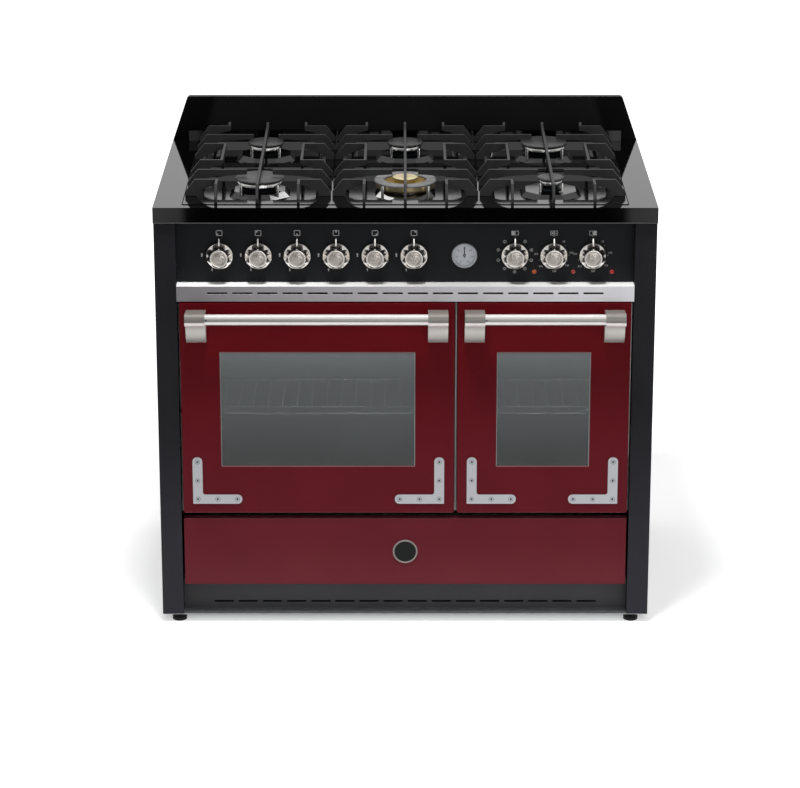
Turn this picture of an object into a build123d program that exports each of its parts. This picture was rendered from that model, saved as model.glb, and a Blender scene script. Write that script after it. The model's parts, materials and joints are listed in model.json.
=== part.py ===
"""Freestanding gas range: six burner hob, two drop-down oven doors and a storage drawer.

Millimetres, +X to the right, +Z up, the front faces -Y. The origin is on the floor under the
middle of the range. Depths are measured back from the front edge of the worktop with deep(d).
"""
import os
from math import cos, radians, sin

from build123d import *

os.makedirs("parts", exist_ok=True)

# ---- overall -------------------------------------------------------------------------------------
width = 1000.0
depth = 600.0
worktop_height = 885.0
worktop_thickness = 32.0
sheet = 1.5
slip = 0.3                      # gap between pieces on different bodies, and for loose seats
past = 1.0                      # how far a cut runs past the face it opens

# ---- handles, which reach furthest forward -------------------------------------------------------
door_setback = 2.0              # door face behind the worktop's front edge
handle_diameter = 22.5
handle_standoff = 40.0          # bar axis in front of the door face
handle_below_door_top = 23.0    # bar axis below the top edge of the door
bracket_width = 40.0
bracket_wall = 1.9              # metal round the bar in the bracket's ring
bracket_foot = 57.0             # bracket foot below the bar axis
handle_inset = 13.5             # bracket's outer side from the door's side edge
bracket_radius = handle_diameter / 2 + bracket_wall
handle_reach = handle_standoff + bracket_radius - door_setback

front_y = -(depth + handle_reach) / 2 + handle_reach


def deep(d):
    """Y of a point that lies d behind the worktop's front edge."""
    return front_y + d


def block(x, d, z, mode=Mode.ADD):
    """A box between two x, two depths and two heights."""
    with Locations(((x[0] + x[1]) / 2, deep((d[0] + d[1]) / 2), (z[0] + z[1]) / 2)):
        Box(x[1] - x[0], d[1] - d[0], z[1] - z[0], mode=mode)


def rod_y(x, z, radius, d, mode=Mode.ADD):
    """A cylinder along Y between two depths."""
    with Locations(Location((x, deep((d[0] + d[1]) / 2), z), (90, 0, 0))):
        Cylinder(radius, abs(d[1] - d[0]), mode=mode)


def rod_x(x, d, z, radius, mode=Mode.ADD):
    """A cylinder along X between two x."""
    with Locations(Location(((x[0] + x[1]) / 2, deep(d), z), (0, 90, 0))):
        Cylinder(radius, x[1] - x[0], mode=mode)


def rod_z(x, d, z, radius, mode=Mode.ADD):
    """A cylinder along Z between two heights."""
    with Locations((x, deep(d), (z[0] + z[1]) / 2)):
        Cylinder(radius, z[1] - z[0], mode=mode)


def turned_y(x, d, z, profile):
    """A turned solid on an axis along Y. The profile's points are (radius, distance forward of d)."""
    with BuildSketch(Plane(origin=(x, deep(d), z), x_dir=(1, 0, 0), z_dir=(0, 0, -1))) as section:
        with BuildLine():
            Polyline(*profile, close=True)
        make_face()
    revolve(section.sketch, axis=Axis((x, deep(d), z), (0, 1, 0)))


def turned_z(x, d, z, profile):
    """A turned solid on a vertical axis. The profile's points are (radius, height above z)."""
    with BuildSketch(Plane(origin=(x, deep(d), z), x_dir=(1, 0, 0), z_dir=(0, -1, 0))) as section:
        with BuildLine():
            Polyline(*profile, close=True)
        make_face()
    revolve(section.sketch, axis=Axis((x, deep(d), z), (0, 0, 1)))


def tube(points, radius, bend):
    """A round tube along straight runs joined by arcs of one bend radius."""
    with BuildLine() as path:
        FilletPolyline(*points, radius=bend)
    with BuildSketch(Plane(origin=path.wire() @ 0, z_dir=path.wire() % 0)) as section:
        Circle(radius)
    sweep(section.sketch, path=path.wire())


def group(*builders):
    """The solids of several builders in one piece, kept apart."""
    return Compound(children=[solid for builder in builders for solid in builder.solids()])


def save(name, part):
    """Label a finished piece and write its STEP file."""
    part.label = name
    export_step(part, f"parts/{name}.step")


# ---- casing --------------------------------------------------------------------------------------
foot_height = 16.5
base_thickness = 2.0
column_setback = 8.0
column_width = 43.0
column_return = 60.0            # depth of the column's inner wall
rear_flange = 15.0
worktop_overhang = 0.5
half_width = width / 2
column_outer = half_width - worktop_overhang
column_inner = column_outer - column_width
base_top = foot_height + base_thickness
worktop_underside = worktop_height - worktop_thickness


def make_side_panel(side):
    """A folded side panel: the wall, the column front with its inner wall, and a rear flange."""
    with BuildPart() as panel:
        wall = sorted((side * (column_outer - sheet), side * column_outer))
        front = sorted((side * column_inner, side * column_outer))
        inner = sorted((side * column_inner, side * (column_inner + sheet)))
        flange = sorted((side * (column_outer - rear_flange), side * column_outer))
        z = (base_top, worktop_underside)
        rear = depth - sheet
        block(wall, (column_setback, rear), z)
        block(front, (column_setback, column_setback + sheet), z)
        block(inner, (column_setback, column_return), z)
        block(flange, (rear - sheet, rear), z)
    return panel.part


save("side_panel_left", make_side_panel(-1))
save("side_panel_right", make_side_panel(1))

# ---- feet and base -------------------------------------------------------------------------------
foot_diameter = 30.0
foot_pad = 9.0
foot_stem_diameter = 10.0
foot_stem_clearance = 0.1
foot_stem_top = 34.0
foot_inset_x = 33.5             # foot axis from the side of the range
foot_inset_front = 30.0
foot_inset_rear = 40.0
foot_boss_diameter = 15.0
foot_boss_height = 8.0
foot_step = 3.0                 # shoulder of the foot between its pad and its stem
foot_x = half_width - foot_inset_x
foot_places = [(sx * foot_x, d) for sx in (-1, 1) for d in (foot_inset_front, depth - foot_inset_rear)]

with BuildPart() as levelling_feet:
    for x, d in foot_places:
        turned_z(x, d, 0, [
            (0, 0), (foot_diameter / 2, 0), (foot_diameter / 2, foot_pad - foot_step),
            (foot_diameter / 2 - foot_step, foot_pad), (foot_stem_diameter / 2, foot_pad),
            (foot_stem_diameter / 2, foot_stem_top), (0, foot_stem_top)])
save("levelling_feet", levelling_feet.part)

plinth_setback = 42.0
plinth_foot = 25.0              # depth of the plinth's lower flange

# drawer runners stand on the base, and the drawer's slide flange runs in their channel
drawer_top = 229.0
drawer_bottom = 84.5
drawer_setback = 7.0
drawer_front_thickness = 18.0
drawer_side_gap = 4.5           # drawer front to the column's inner wall
drawer_length = 490.0
drawer_wall_height = 110.0
drawer_floor_lift = 8.0         # drawer floor above the lower edge of its front
runner_web_gap = 12.0           # runner's web to the column's inner wall
runner_reach = 14.0             # runner's ledges stand this far inward of the web
runner_height = 26.0            # slide flange above the drawer floor
runner_gap = 0.6
runner_start_gap = 2.0          # runner behind the plinth's flange
runner_tail = 10.0              # runner past the shut drawer
drawer_floor = drawer_bottom + drawer_floor_lift
slide_z = drawer_floor + runner_height
runner_start = plinth_setback + plinth_foot + runner_start_gap
runner_outer = column_inner - runner_web_gap
ledge_top = slide_z - runner_gap
keeper_bottom = slide_z + sheet + runner_gap
runner_end = drawer_setback + drawer_front_thickness + drawer_length + runner_tail

with BuildPart() as base_pan:
    block((-column_outer, column_outer), (column_setback + base_thickness, depth - sheet),
          (foot_height, base_top))
    for x, d in foot_places:
        rod_z(x, d, (base_top, base_top + foot_boss_height), foot_boss_diameter / 2)
    for x, d in foot_places:
        rod_z(x, d, (foot_height - past, base_top + foot_boss_height + past),
              foot_stem_diameter / 2 + foot_stem_clearance, mode=Mode.SUBTRACT)
    for side in (-1, 1):
        web = sorted((side * (runner_outer - sheet), side * runner_outer))
        ledge = sorted((side * (runner_outer - runner_reach), side * runner_outer))
        block(web, (runner_start, runner_end), (base_top, keeper_bottom + sheet))
        block(ledge, (runner_start, runner_end), (ledge_top - sheet, ledge_top))
        block(ledge, (runner_start, runner_end), (keeper_bottom, keeper_bottom + sheet))
save("base_pan", base_pan.part)

# ---- plinth and vent strip, which share one slot pattern -----------------------------------------
slot_count = 16
slot_pitch = 50.0
slot_length = 41.0
slot_height = 4.0
plinth_top = 88.0
plinth_slot_z = 33.0


def cut_slots(d, z):
    """Cut the row of round-ended slots through a front sheet at depth d."""
    with BuildSketch(Plane(origin=(0, deep(d), z), x_dir=(1, 0, 0), z_dir=(0, -1, 0))) as slots:
        with GridLocations(slot_pitch, 1, slot_count, 1):
            SlotOverall(slot_length, slot_height)
    extrude(slots.sketch, amount=sheet * 3, both=True, mode=Mode.SUBTRACT)


with BuildPart() as plinth:
    block((-column_inner, column_inner), (plinth_setback, plinth_setback + sheet),
          (base_top, plinth_top))
    block((-column_inner, column_inner), (plinth_setback, plinth_setback + plinth_foot),
          (base_top, base_top + sheet))
    cut_slots(plinth_setback, plinth_slot_z)
save("plinth", plinth.part)

vent_top = 722.0
vent_bottom = 691.0
vent_setback = 4.0
vent_slot_z = 708.0
panel_setback = 37.0            # control panel behind the worktop's front edge

with BuildPart() as vent_strip:
    block((-column_inner, column_inner), (vent_setback, vent_setback + sheet),
          (vent_bottom, vent_top))
    block((-column_inner, column_inner), (vent_setback, panel_setback + sheet),
          (vent_top - sheet, vent_top))
    cut_slots(vent_setback, vent_slot_z)
save("vent_strip", vent_strip.part)

# ---- control panel -------------------------------------------------------------------------------
control_z = 778.0
gas_knob_count = 6
oven_knob_count = 3
first_knob_inset = 85.5         # first gas knob from the column's inner wall
last_knob_inset = 82.5
dial_gap_ratio = 1.297          # knob to thermometer spacing over knob to knob spacing
shaft_hole = 7.0                # radius of the holes for the control shafts
thermometer_diameter = 51.0
lamp_diameter = 8.0
lamp_z = 743.5
lamp_offset = 39.3              # lamp to the right of its knob
panel_flange = 14.0             # the panel's lower flange, which rests on the vent strip
thermometer_seat = 4.0          # thermometer's rim over the edge of its hole
knob_span = 2 * column_inner - first_knob_inset - last_knob_inset
knob_pitch = knob_span / (gas_knob_count + oven_knob_count - 2 + 2 * dial_gap_ratio)
gas_knob_x = [-column_inner + first_knob_inset + i * knob_pitch for i in range(gas_knob_count)]
oven_knob_x = [column_inner - last_knob_inset - i * knob_pitch for i in range(oven_knob_count)][::-1]
thermometer_x = (gas_knob_x[-1] + oven_knob_x[0]) / 2
lamp_x = [x + lamp_offset for x in oven_knob_x]
panel_back = panel_setback + sheet

with BuildPart() as control_panel:
    block((-column_inner, column_inner), (panel_setback, panel_back), (vent_top, worktop_underside))
    block((-column_inner, column_inner), (panel_setback, panel_setback + panel_flange),
          (vent_top, vent_top + sheet))
    through = (panel_setback - past, panel_back + past)
    for x in gas_knob_x + oven_knob_x:
        rod_y(x, control_z, shaft_hole, through, mode=Mode.SUBTRACT)
    rod_y(thermometer_x, control_z, thermometer_diameter / 2 - thermometer_seat, through,
          mode=Mode.SUBTRACT)
    for x in lamp_x:
        rod_y(x, lamp_z, lamp_diameter / 2, through, mode=Mode.SUBTRACT)
save("control_panel", control_panel.part)

lamp_dome = 2.5
lamp_body = 14.0                # lamp behind the panel's face
lamp_fit = 0.2
lamp_rim = 0.6
with BuildPart() as indicator_lamps:
    for x in lamp_x:
        turned_y(x, panel_setback, lamp_z, [
            (0, -lamp_body), (lamp_diameter / 2 - lamp_fit, -lamp_body),
            (lamp_diameter / 2 - lamp_fit, 0), (lamp_diameter / 2 + lamp_rim, 0),
            (lamp_diameter / 2, lamp_dome / 2), (lamp_diameter / 4, lamp_dome),
            (0, lamp_dome)])
save("indicator_lamps", indicator_lamps.part)

# oven thermometer: a turned case with a dial, and its needle on a centre pin
case_depth = 20.0
bezel_height = 6.0
bezel_width = 3.5
dial_floor = 1.5                # dial face in front of the panel
needle_pin = 1.2
needle_running = 0.05
needle_length = 17.0
needle_tail = 5.0
needle_lift = 1.0
needle_thickness = 0.8
needle_width = 1.4
needle_hub = 2.6
pin_height = 3.0                # centre pin above the dial
case_step = 5.0                 # case behind the panel is this much smaller than its rim
bezel_round = 1.5
case_r = thermometer_diameter / 2

with BuildPart() as thermometer_case:
    turned_y(thermometer_x, panel_setback, control_z, [
        (0, -case_depth), (case_r - case_step, -case_depth), (case_r - case_step, 0), (case_r, 0),
        (case_r, bezel_height - bezel_round), (case_r - bezel_round, bezel_height),
        (case_r - bezel_width, bezel_height), (case_r - bezel_width, dial_floor),
        (needle_pin, dial_floor), (needle_pin, dial_floor + pin_height), (0, dial_floor + pin_height)])
save("thermometer_case", thermometer_case.part)

needle_d = panel_setback - dial_floor - needle_lift
with BuildPart() as thermometer_needle:
    rod_y(thermometer_x, control_z, needle_hub, (needle_d - 1.5 * needle_thickness, needle_d))
    block((thermometer_x - needle_width / 2, thermometer_x + needle_width / 2),
          (needle_d - needle_thickness, needle_d), (control_z - needle_tail, control_z + needle_length))
    rod_y(thermometer_x, control_z, needle_pin + needle_running, (needle_d - pin_height, needle_d + past),
          mode=Mode.SUBTRACT)
save("thermometer_needle", thermometer_needle.part)

# ---- knobs, valve stems and switches -------------------------------------------------------------
knob_diameter = 55.0
knob_skirt = 9.0                # height of the wide lower part
knob_neck_diameter = 37.0
knob_cap_diameter = 31.0
knob_length = 25.0
knob_gap = 5.5                  # knob's back to the panel at rest, which the push takes up
gas_push = 4.0
stem_radius = 4.0
stem_running = 0.05
stem_grip = 12.0                # stem's length inside the knob
pointer_reach = 37.5
pointer_width = 3.4
pointer_height = 8.0
valve_height = 36.0
valve_width = 30.0
valve_depth = 44.0
valve_gap = 1.5                 # valve body behind the panel's sheet
valve_bore = 12.0               # stem's depth inside the valve at rest
collar_step = 1.6
collar_length = 0.8
knob_edge = 0.8
knob_waist = 4.0                # the waist lies this far above the skirt
knob_neck_step = 2.0
valve_front = panel_back + valve_gap
valve_back = valve_front + valve_depth
knob_back = panel_setback - knob_gap


def make_knob(x):
    """A turned knob with a raised pointer fin at the top, and a blind bore for its stem."""
    with BuildPart() as knob:
        turned_y(x, knob_back, control_z, [
            (0, 0), (knob_diameter / 2 - knob_edge, 0), (knob_diameter / 2, 2 * knob_edge),
            (knob_diameter / 2 - knob_edge, knob_skirt / 2),
            (knob_neck_diameter / 2 + knob_neck_step, knob_skirt),
            (knob_neck_diameter / 2 - knob_neck_step, knob_skirt + knob_waist),
            (knob_cap_diameter / 2 - knob_edge, knob_skirt + 2 * knob_waist),
            (knob_cap_diameter / 2, knob_skirt + 3 * knob_waist),
            (knob_cap_diameter / 2 - knob_neck_step, knob_length),
            (0, knob_length)])
        block((x - pointer_width / 2, x + pointer_width / 2), (knob_back - pointer_height, knob_back),
              (control_z + knob_neck_diameter / 2 - pointer_width, control_z + pointer_reach))
        rod_y(x, control_z, stem_radius + stem_running, (knob_back - stem_grip - slip, knob_back + past),
              mode=Mode.SUBTRACT)
    return knob.part


def make_stem(x):
    """A valve stem with the collar that its return spring pushes on."""
    with BuildPart() as stem:
        rod_y(x, control_z, stem_radius, (knob_back - stem_grip, valve_front + valve_bore))
        rod_y(x, control_z, stem_radius + collar_step,
              (knob_back + slip, knob_back + slip + collar_length))
    return stem.part


for i, x in enumerate(gas_knob_x):
    save(f"gas_knob_{i + 1}", make_knob(x))
    save(f"valve_stem_{i + 1}", make_stem(x))
for i, x in enumerate(oven_knob_x):
    save(f"oven_knob_{i + 1}", make_knob(x))

switch_diameter = 46.0
switch_depth = 38.0
spacer_half = 12.0              # spacer bars between a switch and the panel
spacer_span = (12.0, 20.0)      # their heights above and below the shaft

with BuildPart() as oven_switches:
    for x in oven_knob_x:
        rod_y(x, control_z, switch_diameter / 2, (valve_front, valve_front + switch_depth))
        rod_y(x, control_z, stem_radius, (knob_back - stem_grip, valve_front))
        for side in (-1, 1):
            spacer_z = sorted(control_z + side * offset for offset in spacer_span)
            block((x - spacer_half, x + spacer_half), (panel_back, valve_front), spacer_z)
save("oven_switches", oven_switches.part)

# ---- worktop and upstand -------------------------------------------------------------------------
top_sheet = 2.0
skirt = 2.0
front_lip = 40.0                # folded lip under the front edge
side_lip = 6.0
pan_front = 24.0                # hob pans from the front edge
pan_side_margin = 58.5          # hob pans from the side edge
curb_depth = 12.0
curb_height = 22.0
upstand_thickness = 15.0
upstand_height = 95.0
upstand_slope = 32.5            # each end leans in by this much at the top
upstand_corner = 9.0
pan_overlap = 10.0
pan_gap = 0.8
pan_rear_gap = 1.0              # pans in front of the curb
pan_count = 3
curb_front = depth - upstand_thickness - curb_depth
curb_half = half_width - skirt - upstand_slope
pan_rear = curb_front - pan_rear_gap
pan_half = half_width - pan_side_margin
pan_pitch = (2 * pan_half + pan_gap) / pan_count
pan_width = pan_pitch - pan_gap
pan_x = [(i - (pan_count - 1) / 2) * pan_pitch for i in range(pan_count)]

with BuildPart() as worktop:
    block((-half_width, half_width), (0, depth), (worktop_underside, worktop_height))
    block((-half_width + skirt, half_width - skirt), (skirt, depth - skirt),
          (worktop_underside + top_sheet, worktop_height - top_sheet), mode=Mode.SUBTRACT)
    block((-half_width + side_lip, half_width - side_lip), (front_lip, depth - side_lip),
          (worktop_underside - past, worktop_underside + top_sheet + past), mode=Mode.SUBTRACT)
    for x in pan_x:
        reach = pan_width / 2 - pan_overlap
        block((x - reach, x + reach), (pan_front + pan_overlap, pan_rear - pan_overlap),
              (worktop_height - top_sheet - past, worktop_height + past), mode=Mode.SUBTRACT)
    block((-curb_half, curb_half), (curb_front, depth - upstand_thickness),
          (worktop_height, worktop_height + curb_height))
save("worktop", worktop.part)

with BuildPart() as upstand:
    with BuildSketch(Plane(origin=(0, deep(depth), worktop_height), x_dir=(1, 0, 0), z_dir=(0, -1, 0))):
        with BuildLine():
            Polyline((-half_width, 0), (half_width, 0), (half_width - upstand_slope, upstand_height),
                     (-half_width + upstand_slope, upstand_height), close=True)
        make_face()
    extrude(amount=upstand_thickness)
    top_corners = upstand.edges().filter_by(Axis.Y).group_by(Axis.Z)[-1]
    fillet(top_corners, upstand_corner)
save("upstand", upstand.part)

# ---- hob pans: a rim on the worktop, two wells, and a raised burner seat in each well ------------
rim_sheet = 1.5
front_row = 170.0               # front burners from the worktop's front edge
rear_row = 122.0                # rear burners from its rear edge
ridge = 82.0                    # pan surface between the two wells
well_side = 24.0
well_depth = 16.0
well_corner = 28.0
well_draft = 30.0
seat_radius = 66.0              # to the corners of the seat's foot
seat_height = 10.0
seat_sides = 8
seat_draft = 45.0
seat_lap = 0.01
front_well_margin = 33.0
rear_well_margin = 16.0
rows = [front_row, depth - rear_row]
well_middle = sum(rows) / 2
rim_top = worktop_height + rim_sheet
well_floor = rim_top - well_depth
seat_top = well_floor + seat_height
burner_places = [(x, d) for d in rows for x in pan_x]

# kind of burner at each place, front row first: cap diameters in millimetres
rapid, semi_rapid, small, triple = 100.0, 76.0, 55.0, 127.0
cap_diameters = [rapid, triple, small, semi_rapid, semi_rapid, rapid]
body_wall = 3.0
body_share = 0.62               # burner body's radius over the cap's
pan_hole_clearance = 1.0
plug_radius = 3.0
plug_clearance = 0.2
plug_out = 5.0                  # plug's axis outside the cap's edge
plug_angles = (-48, -132)       # spark plug to the right, thermocouple to the left, both in front


def well_extent(row):
    """Front and rear depth of the well round one burner row."""
    if row == 0:
        return (pan_front + front_well_margin, well_middle - ridge / 2)
    return (well_middle + ridge / 2, pan_rear - rear_well_margin)


def well_cut(x, row, grow):
    """The drafted pocket of one well. grow moves its wall out and its floor down by one sheet."""
    low, high = well_extent(row)
    top = worktop_height if grow else rim_top
    floor = well_floor - grow
    mode = Mode.ADD if grow else Mode.SUBTRACT
    with BuildSketch(Plane((x, deep((low + high) / 2), top))) as mouth:
        RectangleRounded(pan_width - 2 * well_side + 2 * grow, high - low + 2 * grow, well_corner + grow)
    extrude(mouth.sketch, amount=floor - top, taper=well_draft, mode=mode)


def seat_shape(x, d, drop, mode):
    """The eight-sided burner seat pressed up from a well's floor, or the hollow a sheet below it."""
    with BuildSketch(Plane((x, deep(d), well_floor - drop - seat_lap))) as foot:
        RegularPolygon(seat_radius, seat_sides, rotation=180 / seat_sides)
    extrude(foot.sketch, amount=seat_height + seat_lap, taper=seat_draft, mode=mode)


def plug_place(x, d, cap, angle):
    """X and depth of a plug that stands at an angle beside a burner."""
    reach = cap / 2 + plug_out
    return x + reach * cos(radians(angle)), d + reach * sin(radians(angle))


with BuildPart() as hob_pans:
    for x in pan_x:
        block((x - pan_width / 2, x + pan_width / 2), (pan_front, pan_rear), (worktop_height, rim_top))
        for row in (0, 1):
            well_cut(x, row, rim_sheet)
        for row in (0, 1):
            well_cut(x, row, 0)
            seat_shape(x, rows[row], 0, Mode.ADD)
            seat_shape(x, rows[row], rim_sheet, Mode.SUBTRACT)
    for (x, d), cap in zip(burner_places, cap_diameters):
        cut = (well_floor - rim_sheet - past, rim_top)
        rod_z(x, d, cut, cap / 2 * body_share + pan_hole_clearance, mode=Mode.SUBTRACT)
        for angle in plug_angles:
            px, pd = plug_place(x, d, cap, angle)
            rod_z(px, pd, cut, plug_radius + plug_clearance, mode=Mode.SUBTRACT)
save("hob_pans", hob_pans.part)

# ---- burners -------------------------------------------------------------------------------------
cap_top = worktop_height + 22.0
cap_thickness = 5.5
crown_inset = 4.0               # crown's edge inside the cap's edge
crown_rise = 4.0                # crown above the seat
crown_bottom = seat_top + crown_rise
body_bottom = 852.0
body_flange = 5.0
flange_height = 2.0
crown_foot = 2.0                # the crown flares out from this far inside its edge
crown_flare = 6.0
ear_width = 9.0
plug_drop = 9.0                 # plug's tip below the cap's top
plug_top = cap_top - plug_drop
ear_z = (858.0, 861.0)


with BuildPart() as burner_bodies:
    for (x, d), cap in zip(burner_places, cap_diameters):
        body_r = cap / 2 * body_share
        turned_z(x, d, 0, [
            (0, body_bottom), (body_r, body_bottom), (body_r, seat_top),
            (body_r + body_flange, seat_top), (body_r + body_flange, seat_top + flange_height),
            (body_r, seat_top + 1.5 * flange_height), (body_r - body_wall, crown_bottom),
            (0, crown_bottom)])
        for angle in plug_angles:
            reach = cap / 2 + plug_out
            with Locations(Location((x, deep(d), (ear_z[0] + ear_z[1]) / 2), (0, 0, angle))):
                Box(reach + ear_width / 2, ear_width, ear_z[1] - ear_z[0],
                    align=(Align.MIN, Align.CENTER, Align.CENTER))

with BuildPart() as crowns_and_plugs:
    for (x, d), cap in zip(burner_places, cap_diameters):
        body_r = cap / 2 * body_share
        edge_r = cap / 2 - crown_inset
        if cap != triple:
            turned_z(x, d, 0, [
                (0, crown_bottom), (body_r - body_wall, crown_bottom),
                (edge_r - crown_foot, crown_bottom + crown_flare),
                (edge_r, crown_bottom + crown_flare + crown_foot), (edge_r, cap_top - cap_thickness),
                (0, cap_top - cap_thickness)])
        for angle in plug_angles:
            px, pd = plug_place(x, d, cap, angle)
            rod_z(px, pd, (ear_z[1], plug_top), plug_radius)
save("burner_bodies", group(burner_bodies, crowns_and_plugs))

ring_inner = 42.0
ring_cap_thickness = 5.0
ring_cap_drop = 5.0             # ring cap's top below the other caps' tops
ring_cap_top = cap_top - ring_cap_drop
cap_round = 1.0
ring_round = 2.0
ring_seat = 3.0                 # brass edge inside the ring cap's edge
crown_step = 4.0
inner_cap_height = 4.0
inner_crown = 22.0
inner_cap = 25.5
ring_r = triple / 2

with BuildPart() as burner_caps:
    for (x, d), cap in zip(burner_places, cap_diameters):
        if cap != triple:
            r = cap / 2
            low = cap_top - cap_thickness
            turned_z(x, d, 0, [
                (0, low), (r - cap_round, low), (r, low + cap_round), (r, cap_top - 2 * cap_round),
                (r - cap_round, cap_top - cap_round), (r - 3 * cap_round, cap_top), (0, cap_top)])
        else:
            low = ring_cap_top - ring_cap_thickness
            turned_z(x, d, 0, [
                (ring_inner, low), (ring_r, low), (ring_r, ring_cap_top - ring_round),
                (ring_r - ring_round, ring_cap_top), (ring_inner + ring_round, ring_cap_top),
                (ring_inner, ring_cap_top - ring_round)])
save("burner_caps", burner_caps.part)

triple_x, triple_d = burner_places[cap_diameters.index(triple)]
with BuildPart() as triple_crown_burner:
    low = crown_bottom + crown_step
    seat = ring_cap_top - ring_cap_thickness
    turned_z(triple_x, triple_d, 0, [
        (0, crown_bottom), (ring_r - ring_seat - crown_step, crown_bottom), (ring_r - ring_seat, low),
        (ring_r - ring_seat, seat), (ring_inner + ring_seat, seat), (ring_inner + ring_seat, low),
        (inner_crown, low), (inner_crown, cap_top - inner_cap_height - cap_round),
        (inner_cap, cap_top - inner_cap_height), (inner_cap, cap_top - cap_round),
        (inner_cap - ring_seat, cap_top), (0, cap_top)])
save("triple_crown_burner", triple_crown_burner.part)

# ---- gas supply: rail with its valves, a pipe to each burner, and the inlet at the back ----------
rail_radius = 8.0
rail_below_valve = 7.0          # rail axis below the underside of the valves
rail_end = 22.0                 # rail past its first and last valve
pipe_radius = 2.5
pipe_bend = 6.0
pipe_top_run = 842.0            # height of the highest pipe run
pipe_spacing = 7.5
inlet_radius = 10.48            # G 1/2 male thread
inlet_length = 14.0
inlet_hex = 13.0
inlet_hex_length = 16.0
elbow_in = 10.0                 # the inlet tube's end inside the collar
bracket_front = 12.0            # inlet bracket in front of the collar's rear face
bracket_thickness = 4.0
bracket_half = 16.0
elbow_share = 0.8               # bend radius over the distance the tube steps aside
rail_lap = 5.0                  # inlet tube's start inside the rail
stem_room = 2.0                 # past the end of a pushed stem
inlet_x = -half_width + 70.0
valve_mid = (valve_front + valve_back) / 2
valve_bottom = control_z - valve_height / 2
rail_z = valve_bottom - rail_below_valve
inlet_front = depth - inlet_length
inlet_hole = 24.0
valve_burners = [0, 3, 1, 4, 2, 5]  # each valve's burner, counted along the front row, then the rear

with BuildPart() as gas_supply:
    for x in gas_knob_x:
        block((x - valve_width / 2, x + valve_width / 2), (valve_front, valve_back),
              (valve_bottom, control_z + valve_height / 2))
    rod_x((gas_knob_x[0] - rail_end, gas_knob_x[-1] + rail_end), valve_mid, rail_z, rail_radius)
    for i, (x, burner) in enumerate(zip(gas_knob_x, valve_burners)):
        bx, bd = burner_places[burner]
        run = pipe_top_run - i * pipe_spacing
        route = [(x, deep(valve_mid), control_z), (x, deep(valve_mid), run), (x, deep(bd), run)]
        if abs(bx - x) > 2 * pipe_bend:
            route += [(bx, deep(bd), run)]
        route += [(route[-1][0], deep(bd), body_bottom)]
        tube(route, pipe_radius, pipe_bend)
    rail_start = gas_knob_x[0] - rail_end
    tube([(rail_start + rail_lap, deep(valve_mid), rail_z), (inlet_x, deep(valve_mid), rail_z),
          (inlet_x, deep(inlet_front - elbow_in), rail_z)], rail_radius - 1,
         (rail_start - inlet_x) * elbow_share)
    rod_y(inlet_x, rail_z, inlet_hex, (inlet_front - inlet_hex_length, inlet_front))
    rod_y(inlet_x, rail_z, inlet_radius, (inlet_front, depth))
    plate = inlet_front - bracket_front
    block((-column_outer + sheet, inlet_x), (plate, plate + bracket_thickness),
          (rail_z - bracket_half, rail_z + bracket_half))
    for x in gas_knob_x:
        rod_y(x, control_z, stem_radius + stem_running,
              (valve_front - past, valve_front + valve_bore + gas_push + stem_room), mode=Mode.SUBTRACT)
save("gas_supply", gas_supply.part)

# ---- back panel and cable gland ------------------------------------------------------------------
louvre_length = 70.0
louvre_height = 5.0
gland_x = half_width - 70.0
gland_z = 160.0
gland_radius = 13.0
gland_bore = 5.5
gland_length = 26.0
gland_neck = 3.0                # the neck in the panel is this much smaller than the gland
louvre_columns = 5
louvre_rows = 9

with BuildPart() as back_panel:
    block((-column_outer, column_outer), (depth - sheet, depth), (base_top, worktop_underside))
    with BuildSketch(Plane(origin=(0, deep(depth), (base_top + worktop_underside) / 2),
                           x_dir=(1, 0, 0), z_dir=(0, -1, 0))) as louvres:
        with GridLocations(2 * louvre_length, 4 * louvre_height, louvre_columns, louvre_rows):
            SlotOverall(louvre_length, louvre_height)
    extrude(louvres.sketch, amount=2 * sheet, both=True, mode=Mode.SUBTRACT)
    through = (depth - sheet - past, depth + past)
    rod_y(inlet_x, rail_z, inlet_hole, through, mode=Mode.SUBTRACT)
    rod_y(gland_x, gland_z, gland_radius - gland_neck, through, mode=Mode.SUBTRACT)

with BuildPart() as cable_gland:
    turned_y(gland_x, depth, gland_z, [
        (gland_bore, 0), (gland_radius - gland_neck, 0), (gland_radius - gland_neck, sheet),
        (gland_radius, sheet),
        (gland_radius, gland_length), (gland_bore, gland_length)])
save("back_panel", group(back_panel, cable_gland))

# ---- oven doors: sizes, which the frame behind them shares ---------------------------------------
door_bottom = 243.0
door_top = 688.0
door_thickness = 38.0
door_pan_depth = 22.0           # outer pan's edge
door_side_gap = 5.0             # door to column
door_gap = 6.0                  # between the doors
right_door_width = 346.5
left_door_width = 2 * column_inner - 2 * door_side_gap - door_gap - right_door_width
left_door_x = -column_inner + door_side_gap + left_door_width / 2
right_door_x = column_inner - door_side_gap - right_door_width / 2
window_side = 79.0
window_top = 102.0
window_bottom = 99.0
glass_thickness = 4.0
glass_overlap = 12.0
hinge_radius = 4.0
hinge_running = 0.05
hinge_back = 20.0               # hinge axis behind the door's face
hinge_up = 20.0                 # hinge axis above the door's lower edge
hinge_inset = 45.0              # hinge arm from the door's side edge
hinge_arm = 6.0
hinge_arm_height = 12.0
hinge_eye = 8.0
cheek_gap = 2.0
cheek_thickness = 4.0
cheek_height = 31.0
inner_pan_drop = 12.0           # inner pan reaches this far below the hinge axis
inner_pan_lap = 6.0             # inner pan's edge inside the outer pan's
door_back = door_setback + door_thickness
hinge_d = door_setback + hinge_back
hinge_z = door_bottom + hinge_up
doors = {"left": (left_door_x, left_door_width), "right": (right_door_x, right_door_width)}


def hinge_xs(x, w):
    """X of the two hinge arms of a door."""
    return [x - w / 2 + hinge_inset, x + w / 2 - hinge_inset]


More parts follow.
